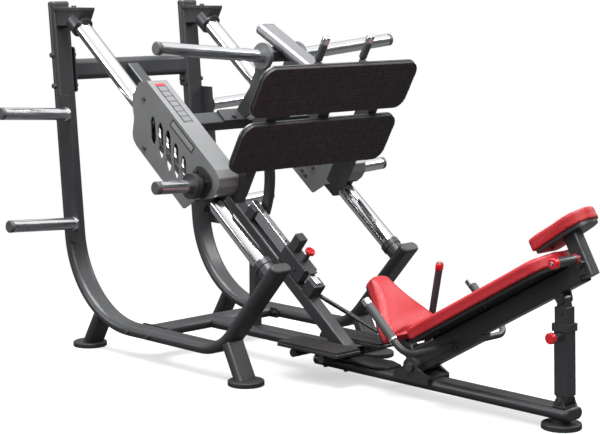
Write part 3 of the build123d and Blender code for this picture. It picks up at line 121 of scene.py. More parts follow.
class Material(Nodes):
    """Node material around one Principled shader, mapped in object space."""

    def __init__(self, name):
        self.material = bpy.data.materials.new(name)
        self.material.use_nodes = True
        super().__init__(self.material.node_tree)
        self.output = self.add("ShaderNodeOutputMaterial")
        self.shader = self.add("ShaderNodeBsdfPrincipled")
        self.feed(self.output.inputs[0], self.shader.outputs[0])
        self.coords = self.value("ShaderNodeTexCoord", output="Object")

    def set(self, inputs):
        for key, value in inputs.items():
            self.feed(self.shader.inputs[key], value)

    def noise(self, scale, detail=2.0, rough=0.5, warp=0.0, coords=None):
        inputs = {"Scale": scale, "Detail": detail, "Roughness": rough, "Distortion": warp,
                  "Vector": coords or self.coords}
        return self.value("ShaderNodeTexNoise", inputs, "Fac")

    def voronoi(self, scale, feature="F1"):
        inputs = {"Scale": scale, "Vector": self.coords}
        return self.value("ShaderNodeTexVoronoi", inputs, "Distance", feature=feature)

    def remap(self, value, span, to=(0.0, 1.0), smooth=False):
        inputs = dict(enumerate((value, *span, *to)))
        interpolation = "SMOOTHSTEP" if smooth else "LINEAR"
        return self.value("ShaderNodeMapRange", inputs, interpolation_type=interpolation)

    def spread(self, noise, low, high):
        """The middle of a noise stretched over low..high."""
        return self.remap(noise, span=(0.3, 0.7), to=(low, high))

    def math(self, operation, *terms):
        return self.value("ShaderNodeMath", dict(enumerate(terms)), operation=operation)

    def vector_math(self, operation, a, b, output):
        return self.value("ShaderNodeVectorMath", {0: a, 1: b}, output, operation=operation)

    def mix(self, factor, a, b):
        return self.value("ShaderNodeMix", {0: factor, 6: a, 7: b}, 2, data_type="RGBA")

    def mix_number(self, factor, a, b):
        return self.value("ShaderNodeMix", {0: factor, 2: a, 3: b}, data_type="FLOAT")

    def mottle(self, factor, color, dark, light):
        return self.mix(factor, shade(color, dark), shade(color, light))

    def along(self, direction, origin=REAR_FEET):
        """Distance of a point from origin along a direction, in metres."""
        offset = self.vector_math("SUBTRACT", self.coords, origin, "Vector")
        return self.vector_math("DOT_PRODUCT", offset, direction, "Value")

    def bump(self, height, strength, depth, over=None):
        inputs = {"Strength": strength, "Distance": depth, "Height": height}
        if over is not None:
            inputs["Normal"] = over
        return self.value("ShaderNodeBump", inputs)

    def rounded(self, radius):
        return self.value("ShaderNodeBevel", {"Radius": radius}, samples=4)

    def edge(self, radius):
        """1 along sharp edges, 0 on flats."""
        soft = self.rounded(radius)
        true = self.value("ShaderNodeNewGeometry", output="Normal")
        return self.remap(self.vector_math("DOT_PRODUCT", soft, true, "Value"), span=(0.99, 0.80))


# --------------------------------------------------------------------------
# Materials
# --------------------------------------------------------------------------
def powder(name, color, rough, wear):
    """Powder coat: orange peel, faint mottling and specks, edges rubbed lighter."""
    m = Material(name)
    base = m.mottle(m.noise(scale=3.0, detail=3.0, rough=0.6), color, dark=0.86, light=1.16)
    speck = m.remap(m.voronoi(scale=1400.0), span=(0.05, 0.30), to=(1.0, 0.0))
    base = m.mix(m.math("MULTIPLY", speck, 0.10), base, shade(color, 2.2, lift=0.02))
    edge = m.edge(radius=0.0022)
    patches = m.remap(m.noise(scale=60.0, detail=3.0, rough=0.7), span=(0.42, 0.62))
    rubbed = m.math("MULTIPLY", m.math("MULTIPLY", edge, patches), wear)
    grain = m.bump(m.noise(scale=900.0, rough=0.6), strength=0.10, depth=0.0004,
                   over=m.rounded(0.0016))
    m.set({
        "Base Color": m.mix(rubbed, base, shade(color, 2.6, lift=0.05)),
        "Metallic": 0.30,
        "Roughness": m.spread(m.noise(scale=14.0, detail=4.0, rough=0.6),
                              rough - 0.06, rough + 0.08),
        "Specular IOR Level": 0.5,
        "Coat Weight": 0.12,
        "Coat Roughness": 0.35,
        "Normal": m.bump(m.noise(scale=180.0), strength=0.06, depth=0.0006, over=grain),
    })
    return m.material


def chrome(name, tint, rough, drag=None):
    """Hard chrome with smudges; drag is the noise scale per axis of fine drawn lines."""
    m = Material(name)
    smudge = m.noise(scale=18.0, detail=4.0, rough=0.6)
    if drag:
        stretched = m.value("ShaderNodeMapping", {0: m.coords, "Scale": drag})
        lines = m.noise(scale=1.0, rough=0.7, coords=stretched)
    else:
        lines = m.noise(scale=600.0, rough=0.6)
    m.set({
        "Base Color": m.mottle(smudge, tint, dark=0.93, light=1.0),
        "Metallic": 1.0,
        "Roughness": m.remap(smudge, span=(0.35, 0.75), to=(rough, rough + 0.09)),
        "Normal": m.bump(lines, strength=0.03, depth=0.0002, over=m.rounded(0.0010)),
    })
    return m.material


def rubber(name, color, rough, grain=700.0, strength=0.25):
    """Dusty rubber with a fine grain."""
    m = Material(name)
    dust = m.noise(scale=9.0, detail=4.0, rough=0.65)
    fine = m.bump(m.noise(scale=grain, detail=3.0, rough=0.6), strength=strength, depth=0.0005,
                  over=m.rounded(0.0012))
    m.set({
        "Base Color": m.mottle(dust, color, dark=0.8, light=1.35),
        "Roughness": m.spread(dust, rough - 0.07, rough + 0.1),
        "Specular IOR Level": 0.42,
        "Normal": m.bump(m.voronoi(scale=grain * 1.5), strength=strength * 0.5, depth=0.0003,
                         over=fine),
    })
    return m.material


def vinyl(name, color, normal, top):
    """Pebbled upholstery fabric, with a seam just below the top level (mm along normal)."""
    m = Material(name)
    drift = m.noise(scale=7.0, detail=3.0, rough=0.55)
    cells = m.voronoi(scale=620.0, feature="DISTANCE_TO_EDGE")
    # painted shade: the base colour is darkened in the valleys between the pebbles
    crease_shade = m.remap(cells, span=(0.0, 0.09))
    base = m.mottle(drift, color, dark=0.93, light=1.08)
    base = m.mix(m.remap(crease_shade, span=(0.0, 1.0), to=(0.55, 0.0)), base, shade(color, 0.72))
    seam_drop = 0.0065
    from_seam = m.math("ABSOLUTE", m.math("SUBTRACT", m.along(normal), top * mm - seam_drop))
    seam = m.remap(from_seam, span=(0.0004, 0.0022), to=(1.0, 0.0), smooth=True)
    base = m.mix(m.math("MULTIPLY", seam, 0.45), base, shade(color, 0.35))
    # relief from the coarse pebbles to the sunk seam, with slow wrinkles over all
    pebble = m.math("MULTIPLY", m.remap(cells, span=(0.0, 0.16), smooth=True), 1.0)
    relief = m.bump(pebble, strength=0.22, depth=0.0005)
    relief = m.bump(m.noise(scale=1500.0, rough=0.6), strength=0.08, depth=0.0003, over=relief)
    relief = m.bump(m.math("MULTIPLY", seam, -1.0), strength=0.5, depth=0.0018, over=relief)
    wrinkles = m.noise(scale=26.0, detail=3.0, rough=0.55, warp=0.6)
    m.set({
        "Base Color": base,
        "Roughness": m.spread(m.noise(scale=40.0, detail=3.0, rough=0.6), 0.40, 0.52),
        "Specular IOR Level": 0.45,
        "Sheen Weight": 0.10,
        "Sheen Roughness": 0.45,
        "Sheen Tint": (1.0, 0.55, 0.55, 1),
        "Normal": m.bump(wrinkles, strength=0.12, depth=0.0022, over=relief),
    })
    return m.material


def plastic(name, color, rough, coat=0.0):
    """Moulded plastic, optionally glossy."""
    m = Material(name)
    drift = m.noise(scale=30.0, detail=3.0, rough=0.6)
    m.set({
        "Base Color": m.mottle(drift, color, dark=0.88, light=1.12),
        "Roughness": m.spread(drift, rough - 0.05, rough + 0.07),
        "Coat Weight": coat,
        "Coat Roughness": 0.08,
        "Normal": m.bump(m.noise(scale=1100.0), strength=0.08, depth=0.0003,
                         over=m.rounded(0.0010)),
    })
    return m.material


def steel(name, color, rough):
    m = Material(name)
    drift = m.noise(scale=120.0, detail=4.0, rough=0.7)
    m.set({
        "Base Color": m.mottle(drift, color, dark=0.8, light=1.15),
        "Metallic": 1.0,
        "Roughness": m.spread(drift, rough - 0.05, rough + 0.12),
        "Normal": m.bump(m.noise(scale=800.0, rough=0.6), strength=0.06, depth=0.0003,
                         over=m.rounded(0.0009)),
    })
    return m.material


def finish(color, metallic, rough, coat, grain):
    """Plain surface values for one half of a two-part material."""
    values = {"Base Color": color, "Metallic": metallic, "Roughness": rough, "Coat Weight": coat}
    return values, grain


def two_part(name, mask, first, second, grain_scale=700.0):
    """First finish where mask(material) is 0, second where it is 1."""
    m = Material(name)
    part = mask(m)
    (first_values, first_grain), (second_values, second_grain) = first, second
    for key, value in first_values.items():
        mix = m.mix if key == "Base Color" else m.mix_number
        m.set({key: mix(part, value, second_values[key])})
    grain = m.mix_number(part, first_grain, second_grain)
    height = m.math("MULTIPLY", m.noise(scale=grain_scale, detail=3.0, rough=0.6), grain)
    m.set({"Normal": m.bump(height, strength=0.35, depth=0.0006, over=m.rounded(0.0012))})
    return m.material


def past(direction, start, end):
    """Mask that rises from 0 to 1 between two distances along a direction."""
    return lambda m: m.remap(m.along(direction), span=(start, end))


GRIP_TOP = station(1.518, 0, 0.386)
GRIP_LOW = station(1.705, 0, 0.2177)


def seat_grip_ends(m):
    """Mask that is 1 on both ends of the seat handles, 0 between them."""
    distance = m.along((GRIP_LOW - GRIP_TOP).normalized(), GRIP_TOP)
    upper = m.remap(distance, span=(0.0158, 0.0162), to=(1, 0))
    lower = m.remap(distance, span=(0.1715, 0.1719))
    return m.math("MAXIMUM", upper, lower)


RED_PAD = srgb(162, 14, 26)
RED_KNOB = srgb(198, 16, 34)
GRIP_GREY = srgb(58, 59, 60)

KNOB_FINISH = finish(RED_KNOB, metallic=0.0, rough=0.22, coat=0.6, grain=0.0)
STEEL_FINISH = finish((0.45, 0.45, 0.46, 1), metallic=1.0, rough=0.28, coat=0.0, grain=0.1)
GRIP_FINISH = finish(GRIP_GREY, metallic=0.0, rough=0.55, coat=0.0, grain=1.0)
CHROME_FINISH = finish((0.82, 0.83, 0.85, 1), metallic=1.0, rough=0.10, coat=0.0, grain=0.0)
# painted light and shade on the horn flanges: the lower ones get a darker finish as painted shade,
# the upper ones a lighter finish as painted light
LOWER_FLANGE_SHADED_FINISH = finish(srgb(34, 35, 36), metallic=0.0, rough=0.46, coat=0.0, grain=0.5)
UPPER_FLANGE_LIT_FINISH = finish(srgb(84, 85, 87), metallic=0.2, rough=0.42, coat=0.05, grain=0.3)

FRAME_COAT = powder("powder_charcoal", srgb(57, 58, 60), rough=0.36, wear=0.35)
HORN_CHROME = chrome("chrome_horn", (0.76, 0.77, 0.79, 1), rough=0.14, drag=(500, 20, 500))
TREAD_RUBBER = rubber("tread_rubber", srgb(29, 25, 27), rough=0.62, grain=900.0, strength=0.35)
GRIP_RUBBER = rubber("grip_rubber", GRIP_GREY, rough=0.55, grain=1100.0, strength=0.35)
KNOB_PLASTIC = plastic("red_knob", RED_KNOB, rough=0.22, coat=0.5)
BOLT_STEEL = steel("zinc_steel", (0.16, 0.16, 0.165, 1), rough=0.34)
BRUSHED_STEEL = steel("brushed_steel", (0.33, 0.33, 0.34, 1), rough=0.32)

# material, the CAD pieces that wear it; all other pieces wear the frame coat
LOOKS = (
    (plastic("moulded_cap", srgb(44, 45, 47), rough=0.45), "frame_end_caps"),
    (plastic("horn_cap_grey", srgb(70, 71, 73), rough=0.42), "storage_horn_caps weight_horn_caps"),
    (rubber("foot_rubber", srgb(40, 41, 42), rough=0.48), "foot_pads"),
    (chrome("hard_chrome_rail", (0.80, 0.81, 0.83, 1), rough=0.06, drag=(30, 700, 30)),
     "guide_rail_left guide_rail_right"),
    (HORN_CHROME, "storage_horns weight_horns"),
    (chrome("chrome_stop_bar", (0.80, 0.81, 0.83, 1), rough=0.12), "stop_bar"),
    (powder("powder_satin_grey", srgb(118, 119, 120), rough=0.40, wear=0.2),
     "carriage_housing_left carriage_housing_right"),
    (steel("bearing_block", (0.08, 0.08, 0.085, 1), rough=0.4), "linear_bearings"),
    # horn flanges split by height along RAIL_UP: painted shade below, painted light above
    (two_part("flange_rubber", past(RAIL_UP, 1.25, 1.26), LOWER_FLANGE_SHADED_FINISH, UPPER_FLANGE_LIT_FINISH,
              grain_scale=500.0), "horn_flanges"),
    (powder("powder_mid_grey", srgb(104, 105, 107), rough=0.34, wear=0.2), "plate_mast"),
    (TREAD_RUBBER, "footplate_treads"),
    (two_part("carriage_grip", past(PLATE_UP, 1.6700, 1.6704), GRIP_FINISH, CHROME_FINISH,
              grain_scale=1100.0), "carriage_handles"),
    (BOLT_STEEL, "carriage_bolts frame_bolts recline_pin"),
    (rubber("bumper_rubber", srgb(52, 54, 53), rough=0.50), "stop_bumper"),
    (two_part("plunger_stop", past(RAIL_UP, 0.9440, 0.9444), STEEL_FINISH, KNOB_FINISH),
     "stop_pin"),
    (steel("dark_rod", (0.10, 0.10, 0.105, 1), rough=0.36), "linkage_rod"),
    (rubber("board_backing", srgb(30, 30, 31), rough=0.62, grain=350.0, strength=0.3),
     "pad_boards"),
    (two_part("seat_grip", seat_grip_ends, GRIP_FINISH, CHROME_FINISH, grain_scale=1100.0),
     "handle_grips"),
    (two_part("plunger_head", past(LEFT, 0.1480, 0.1484), STEEL_FINISH, KNOB_FINISH), "head_pin"),
    (two_part("plunger_strut", past(LEFT, 0.0655, 0.0659), STEEL_FINISH, KNOB_FINISH),
     "post_pin"),
)
look_of = {piece: material for material, pieces in LOOKS for piece in pieces.split()}
for name, ob in NODES.items():
    ob.data.materials.clear()
    ob.data.materials.append(look_of.get(name, FRAME_COAT))


# --------------------------------------------------------------------------
# Mesh helpers
# --------------------------------------------------------------------------
def new_object(name, verts, faces, material, matrix):
    mesh = bpy.data.meshes.new(name)
    mesh.from_pydata(verts, [], faces)
    mesh.update()
    ob = bpy.data.objects.new(name, mesh)
    bpy.context.scene.collection.objects.link(ob)
    ob.matrix_world = matrix
    mesh.materials.append(material)
    return ob


def attach(ob, body, slot):
    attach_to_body(ob, body)


def lathe(name, profile, origin, axis, material, steps=48):
    """Surface of revolution: profile of (radius, height) pairs, smooth with flat ends."""
    turn = axis.normalized().to_track_quat("Z", "Y").to_matrix().to_4x4()
    verts, faces = [], []
    for radius, height in profile:
        for i in range(steps):
            angle = 2 * pi * i / steps
            verts.append((radius * cos(angle), radius * sin(angle), height))
    last = (len(profile) - 1) * steps
    for row in range(0, last, steps):
        for i in range(steps):
            j = (i + 1) % steps
            faces.append((row + i, row + j, row + steps + j, row + steps + i))
    faces.append(tuple(reversed(range(steps))))
    faces.append(tuple(last + i for i in range(steps)))
    ob = new_object(name, verts, faces, material, Matrix.Translation(origin) @ turn)
    for polygon in ob.data.polygons:
        polygon.use_smooth = len(polygon.vertices) == 4
    return ob


def dome(radius, start, height):
    """Profile points of a rounded tip, from just above start to the axis."""
    angles = [radians(90 * i / 8) for i in range(1, 9)]
    return [(max(0.0002, radius * cos(a)), start + height * sin(a)) for a in angles]


def basis(origin, x, y, z):
    matrix = Matrix.Identity(4)
    for column, vector in enumerate((x, y, z, origin)):
        for row in range(3):
            matrix[row][column] = vector[row]
    return matrix


# Outlines below are lists of (x, y) points, convex and counter-clockwise.
def round_rect(width, height, radius, steps):
    x, y = width / 2 - radius, height / 2 - radius
    points = []
    for center_x, center_y, start in ((x, y, 0), (-x, y, 90), (-x, -y, 180), (x, -y, 270)):
        for i in range(steps + 1):
            angle = radians(start + 90 * i / steps)
            points.append((center_x + radius * cos(angle), center_y + radius * sin(angle)))
    return points


def distance(a, b):
    return hypot(b[0] - a[0], b[1] - a[1])


def clip_convex(outline, clip):
    """The part of an outline that lies inside another (Sutherland-Hodgman)."""
    for i, a in enumerate(clip):
        b = clip[(i + 1) % len(clip)]
        if distance(a, b) < 1e-9:
            continue

        def side(point):
            return (b[0] - a[0]) * (point[1] - a[1]) - (b[1] - a[1]) * (point[0] - a[0])

        source, outline = outline, []
        for j, p in enumerate(source):
            q = source[(j + 1) % len(source)]
            side_p, side_q = side(p), side(q)
            if side_p >= 0:
                outline.append(p)
            if (side_p >= 0) != (side_q >= 0):
                t = side_p / (side_p - side_q)
                outline.append((p[0] + t * (q[0] - p[0]), p[1] + t * (q[1] - p[1])))
        if not outline:
            return []
    return outline


def area(outline):
    following = outline[1:] + outline[:1]
    return 0.5 * sum(p[0] * q[1] - q[0] * p[1] for p, q in zip(outline, following))


def merge_close(outline, gap=0.0004):
    merged = []
    for point in outline:
        if not merged or distance(merged[-1], point) > gap:
            merged.append(point)
    while len(merged) > 1 and distance(merged[-1], merged[0]) <= gap:
        merged.pop()
    return merged


def inward(a, b):
    """Unit vector at right angles to an edge, into the outline."""
    length = distance(a, b)
    return -(b[1] - a[1]) / length, (b[0] - a[0]) / length


def add_prism(verts, faces, outline, bottom, top, bevel):
    """Adds a block with a chamfered top to the lists; slivers are left out."""
    outline = merge_close(outline)
    count = len(outline)
    if count < 3 or area(outline) < 6e-5:
        return
    shrunk = []
    for i, corner in enumerate(outline):
        before = inward(outline[i - 1], corner)
        after = inward(corner, outline[(i + 1) % count])
        miter = max(1 + before[0] * after[0] + before[1] * after[1], 0.3)
        shrunk.append((corner[0] + (before[0] + after[0]) / miter * bevel,
                       corner[1] + (before[1] + after[1]) / miter * bevel))
    base = len(verts)
    for ring, z in ((outline, bottom), (outline, top - bevel), (shrunk, top)):
        verts.extend((x, y, z) for x, y in ring)
    for row in (base, base + count):
        for i in range(count):
            j = (i + 1) % count
            faces.append((row + i, row + j, row + count + j, row + count + i))
    faces.append(tuple(base + 2 * count + i for i in range(count)))
    faces.append(tuple(base + i for i in reversed(range(count))))


def brick_mat(name, length, width, corner, corner_steps, rows, blocks, gap,
              sheet, raised, soften, material, matrix):
    """Rubber sheet under rows of staggered blocks.

    blocks is the count per row, gap the margin round each block; sheet and raised
    are (bottom, top, chamfer) of the sheet and of the blocks.
    """
    verts, faces = [], []
    outline = round_rect(length, width, corner, corner_steps)
    add_prism(verts, faces, outline, *sheet)
    block_length, block_width = length / blocks, width / rows
    for row in range(rows):
        y = -width / 2 + row * block_width
        low, high = y + gap, y + block_width - gap
        x = -length / 2 - block_length + 0.5 * block_length * (row % 2)
        while x < length / 2:
            start, end = x + gap, x + block_length - gap
            block = [(start, low), (end, low), (end, high), (start, high)]
            add_prism(verts, faces, clip_convex(block, outline), *raised)
            x += block_length
    ob = new_object(name, verts, faces, material, matrix)
    soft = ob.modifiers.new("soft", "BEVEL")
    soft.width = soften
    soft.segments = 2
    soft.limit_method = "ANGLE"
    return ob


# --------------------------------------------------------------------------
# Foot plate treads
# --------------------------------------------------------------------------
TREAD_LENGTH, TREAD_HEIGHT = 0.819, 0.208
TREAD_THICKNESS = 14.5  # mm
TREAD_FACE = 445.5      # mm along PLATE_OUT
GROOVE_INSETS = (0.026, 0.052)


def tread_material():
    """Dusty, scuffed rubber with two sunk groove lines that follow the tread's edge, painted
    near-black as shade.
    """
    m = Material("tread_moulded")
    color = srgb(34, 30, 32)
    dust = m.noise(scale=9.0, detail=4.0, rough=0.65)
    x, y, _ = m.add("ShaderNodeSeparateXYZ", {0: m.coords}).outputs
    x, y = m.math("ABSOLUTE", x), m.math("ABSOLUTE", y)

    def groove(inset):
        beyond = m.math("MAXIMUM", m.math("SUBTRACT", x, TREAD_LENGTH / 2 - inset),
                        m.math("SUBTRACT", y, TREAD_HEIGHT / 2 - inset))
        return m.remap(m.math("ABSOLUTE", beyond), span=(0.0003, 0.0012), to=(1.0, 0.0))

    grooves_and_shade = m.math("MAXIMUM", *[groove(inset) for inset in GROOVE_INSETS])
    base = m.mottle(dust, color, dark=0.75, light=1.5)
    scuffs = m.remap(m.noise(scale=30.0, detail=5.0, rough=0.7), span=(0.52, 0.72), to=(0.0, 0.55))
    base = m.mix(scuffs, base, shade(color, 2.3))
    grain = m.math("MULTIPLY", m.noise(scale=1100.0, detail=3.0, rough=0.6), 0.3)
    height = m.math("SUBTRACT", grain, m.math("MULTIPLY", grooves_and_shade, 1.6))
    m.set({
        # painted shade: the groove lines are coloured near-black
        "Base Color": m.mix(m.math("MULTIPLY", grooves_and_shade, 0.6), base, (0.004, 0.0035, 0.004, 1)),
        "Roughness": m.spread(dust, 0.50, 0.68),
        "Specular IOR Level": 0.42,
        "Normal": m.bump(height, strength=0.5, depth=0.0008),
    })
    return m.material


TREAD_MOULDED = tread_material()
for label, center in (("upper", 1491.5), ("lower", 1249.5)):
    origin = at(PLATE_OUT, TREAD_FACE - TREAD_THICKNESS, PLATE_UP, center)
    ob = brick_mat("tread_" + label, TREAD_LENGTH, TREAD_HEIGHT, corner=0.052, corner_steps=12,
                   rows=6, blocks=10.5, gap=0.0008, sheet=(0.0, 0.0118, 0.0015),
                   raised=(0.0100, TREAD_THICKNESS * mm, 0.0012), soften=0.0006,
                   material=TREAD_MOULDED, matrix=basis(origin, ACROSS, PLATE_UP, PLATE_OUT))
    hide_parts("footplate_treads")
    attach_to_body(ob, "carriage")


# --------------------------------------------------------------------------
# Upholstered pads: cloth simulation of the cover over the foam
# --------------------------------------------------------------------------
PAD_FRAMES = 20
COVER_INSET = 0.0005  # how far the cover is drawn in before it is inflated


def remeshed_copy(node, name, voxel, material):
    """Even voxel mesh of a CAD piece, as a new object."""
    ob = bpy.data.objects.new(name, NODES[node].data.copy())
    bpy.context.scene.collection.objects.link(ob)
    bpy.context.view_layer.objects.active = ob
    remesh = ob.modifiers.new("remesh", "REMESH")
    remesh.mode = "VOXEL"
    remesh.voxel_size = voxel
    remesh.adaptivity = 0.0
    graph = bpy.context.evaluated_depsgraph_get()
    mesh = bpy.data.meshes.new_from_object(ob.evaluated_get(graph))
    ob.modifiers.clear()
    ob.data = mesh
    mesh.materials.clear()
    mesh.materials.append(material)
    return ob


def read_points(mesh):
    points = np.zeros(len(mesh.vertices) * 3)
    mesh.vertices.foreach_get("co", points)
    return points.reshape(-1, 3)


def write_points(mesh, points):
    mesh.vertices.foreach_set("co", points.ravel())
    mesh.update()


def levels(points, up):
    return (points - np.array(REAR_FEET)) @ up


def simulate_cover(ob, pinned):
    """Inflates the cover with its underside pinned; returns the settled points."""
    group = ob.vertex_groups.new(name="pin")
    for i in np.nonzero(pinned)[0]:
        group.add([int(i)], 1.0, "REPLACE")
    cloth = ob.modifiers.new("cloth", "CLOTH")
    settings = cloth.settings
    settings.quality = 4
    settings.mass = 0.25
    settings.tension_stiffness = 20
    settings.compression_stiffness = 20
    settings.shear_stiffness = 8
    settings.bending_stiffness = 0.6
    settings.use_pressure = True
    settings.uniform_pressure_force = 4.0
    settings.effector_weights.gravity = 0.0
    settings.vertex_group_mass = "pin"
    cloth.collision_settings.use_collision = False
    cloth.point_cache.frame_start = 1
    cloth.point_cache.frame_end = PAD_FRAMES
    for number in range(1, PAD_FRAMES + 1):
        bpy.context.scene.frame_set(number)
    graph = bpy.context.evaluated_depsgraph_get()
    settled = read_points(ob.evaluated_get(graph).data)
    ob.modifiers.clear()
    return settled


def pad(node, name, body, material, normal, bottom, voxel, swell):
    """Puffed cushion; bottom is its level in mm along normal, swell limits the movement."""
    ob = remeshed_copy(node, name, voxel, material)
    mesh = ob.data
    points = read_points(mesh)
    normals = np.array([v.normal[:] for v in mesh.vertices])
    up = np.array(normal)
    level = levels(points, up)
    base = bottom * mm
    # the underside stays flat on its board
    above = np.clip((level - base - 0.004) / 0.012, 0, 1)
    start = points - normals * (COVER_INSET * above)[:, None]
    write_points(mesh, start)
    move = simulate_cover(ob, pinned=level < base + 0.006) - start
    move[~np.isfinite(move)] = 0
    length = np.linalg.norm(move, axis=1)
    limited = swell * np.tanh(length / swell)
    move *= (limited / np.maximum(length, 1e-9))[:, None]
    # the boxed sides stay nearly flat, the crown is on the top panel
    crown = np.clip((normals @ up - 0.75) / 0.25, 0, 1)
    move *= (0.22 + 0.78 * crown)[:, None]
    puffed = start + move
    level = levels(puffed, up)
    low = level < base
    puffed[low] += ((base - level)[:, None] * up)[low]
    write_points(mesh, puffed)
    bpy.context.scene.frame_set(1)
    smooth = ob.modifiers.new("sub", "SUBSURF")
    smooth.levels = 1
    smooth.render_levels = 1
    for polygon in mesh.polygons:
        polygon.use_smooth = True
    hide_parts(node)
    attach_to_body(ob, body)


# pad, body it rides, normal, top and bottom (mm along the normal), voxel size, swell limit
PADS = (
    ("seat", "backrest", SEAT_UP, 1189.0, 1147.0, 0.005, 0.008),
    ("back", "backrest", BACK_UP, -545.0, -589.0, 0.006, 0.008),
    ("head", "headrest", HEAD_UP, -589.0, -633.0, 0.005, 0.007),
)
for part, body, normal, top, bottom, voxel, swell in PADS:
    cover = vinyl("red_vinyl_" + part, RED_PAD, normal, top)
    pad(part + "_pad", part + "_cushion", body, cover, normal, bottom, voxel, swell)

# --------------------------------------------------------------------------
# Small trim pieces; profiles are (radius, height) pairs
# --------------------------------------------------------------------------
# domed cap of the safety lever
LEVER_FOOT = station(1.396, 0.165, 0.057)
LEVER_TIP = station(1.472, 0.165, 0.470)
ob = lathe("lever_cap",
           [(0.0141, -0.030), (0.0149, -0.0295), (0.0150, -0.012)] + dome(0.0150, -0.012, 0.0140),
           LEVER_TIP, (LEVER_TIP - LEVER_FOOT).normalized(), KNOB_PLASTIC)
attach(ob, "lever", "red_plastic")

# ring where the plunger barrel meets the post socket, and the screw of its knob
HEAD_PLUNGER = at(BACK, 2246, BACK_UP, -598)
RING_PROFILE = [(0.0172, 0.0), (0.0182, 0.0008), (0.0190, 0.0035), (0.0182, 0.0070),
                (0.0172, 0.0080)]
KNOB_SCREW_PROFILE = [(0.0068, 0.0), (0.0070, 0.0018), (0.0058, 0.0032), (0.0030, 0.0034),
                      (0.0028, 0.0016), (0.0004, 0.0015)]
ob = lathe("barrel_ring", RING_PROFILE, HEAD_PLUNGER + LEFT * 0.052, ACROSS, KNOB_PLASTIC)
attach(ob, "backrest", "red_plastic")
ob = lathe("head_knob_screw", KNOB_SCREW_PROFILE, HEAD_PLUNGER + LEFT * 0.1719, LEFT,
           BRUSHED_STEEL, steps=24)
attach(ob, "head_plunger", "brushed")

# moulded sleeves and bright end caps of the two grab handles
GRAB_OUT, GRAB_ACROSS = 400.0, 119.0  # mm
SLEEVE_START, CAP_START = 1600.0, 1668.0  # mm along PLATE_UP
SLEEVE_PROFILE = [(0.0127, 0.0), (0.0148, 0.0012), (0.0152, 0.006), (0.0150, 0.020),
                  (0.0152, 0.040), (0.0151, 0.062), (0.0148, 0.0665), (0.0127, 0.0675)]
CAP_PROFILE = [(0.0127, 0.0), (0.0150, 0.0008), (0.0153, 0.003), (0.0153, 0.020)]
CAP_PROFILE += dome(0.0153, 0.020, 0.0140)
for tag, side in SIDES:
    for name, profile, start, material, slot in (
            ("grab_sleeve_", SLEEVE_PROFILE, SLEEVE_START, GRIP_RUBBER, "grip_rubber"),
            ("grab_cap_", CAP_PROFILE, CAP_START, HORN_CHROME, "chrome")):
        origin = at(PLATE_OUT, GRAB_OUT, PLATE_UP, start, side * GRAB_ACROSS)
        attach(lathe(name + tag, profile, origin, PLATE_UP, material), "carriage", slot)

# --------------------------------------------------------------------------
# Blank decal strips on the carriage housings
# --------------------------------------------------------------------------
TOP_STRIP = (0.226, 0.049)  # length, width
SIDE_STRIP = (0.164, 0.033)


def strip_material(name, length, width, fields=0):
    """Dark strip with a row of grey fields and a red end, or with one grey field."""
    m = Material(name)
    x, y, _ = m.add("ShaderNodeSeparateXYZ", {0: m.coords}).outputs
    end = -length / 2
    worn = m.noise(scale=160.0, detail=4.0, rough=0.7)
    dark = m.mix(worn, srgb(38, 38, 40), srgb(52, 52, 54))
    inside = m.remap(m.math("ABSOLUTE", y), span=(width / 2 - 0.0065, width / 2 - 0.0057),
                     to=(1.0, 0.0))
    if fields:
        pitch = (length - 0.022) / fields
        place = m.math("DIVIDE", m.math("ADD", x, length / 2 - 0.016), pitch)
        from_middle = m.math("ABSOLUTE", m.math("SUBTRACT", m.math("FRACT", place), 0.5))
        field = m.remap(from_middle, span=(0.40, 0.43), to=(1.0, 0.0))
        mask = m.math("MULTIPLY", m.math("MULTIPLY", inside, field),
                      m.remap(x, span=(end + 0.0155, end + 0.016)))
        base = m.mix(mask, dark, m.mix(worn, srgb(96, 97, 98), srgb(112, 113, 114)))
        red = m.remap(x, span=(end + 0.0115, end + 0.0120), to=(1.0, 0.0))
        base = m.mix(red, base, RED_KNOB)
    else:
        field = m.remap(m.math("ABSOLUTE", x), span=(length / 2 - 0.007, length / 2 - 0.006),
                        to=(1.0, 0.0))
        mask = m.math("MULTIPLY", inside, field)
        base = m.mix(mask, dark, m.mix(worn, srgb(128, 129, 130), srgb(140, 141, 142)))
    m.set({
        "Base Color": base,
        "Roughness": m.spread(worn, 0.34, 0.46),
        "Normal": m.bump(worn, strength=0.05, depth=0.0002),
    })
    return m.material


def strip(name, size, matrix, material):
    verts, faces = [], []
    outline = round_rect(*size, radius=0.003, steps=5)
    add_prism(verts, faces, outline, bottom=0.0, top=0.0007, bevel=0.0003)
    attach(new_object(name, verts, faces, material, matrix), "carriage", "black_plastic")


TOP_DECAL = strip_material("decal_fields", *TOP_STRIP, fields=7)
SIDE_DECAL = strip_material("decal_blank", *SIDE_STRIP)
for tag, side in SIDES:
    origin = at(RAIL, -218.0, RAIL_UP, 1158.15, side * 348.5)
    strip("decal_top_" + tag, TOP_STRIP, basis(origin, RAIL, RAIL_UP.cross(RAIL), RAIL_UP),
          TOP_DECAL)
    origin = at(RAIL, -61.0, RAIL_UP, 1130.0, side * 398.15)
    outward = ACROSS * side
    strip("decal_side_" + tag, SIDE_STRIP, basis(origin, RAIL, outward.cross(RAIL), outward),
          SIDE_DECAL)

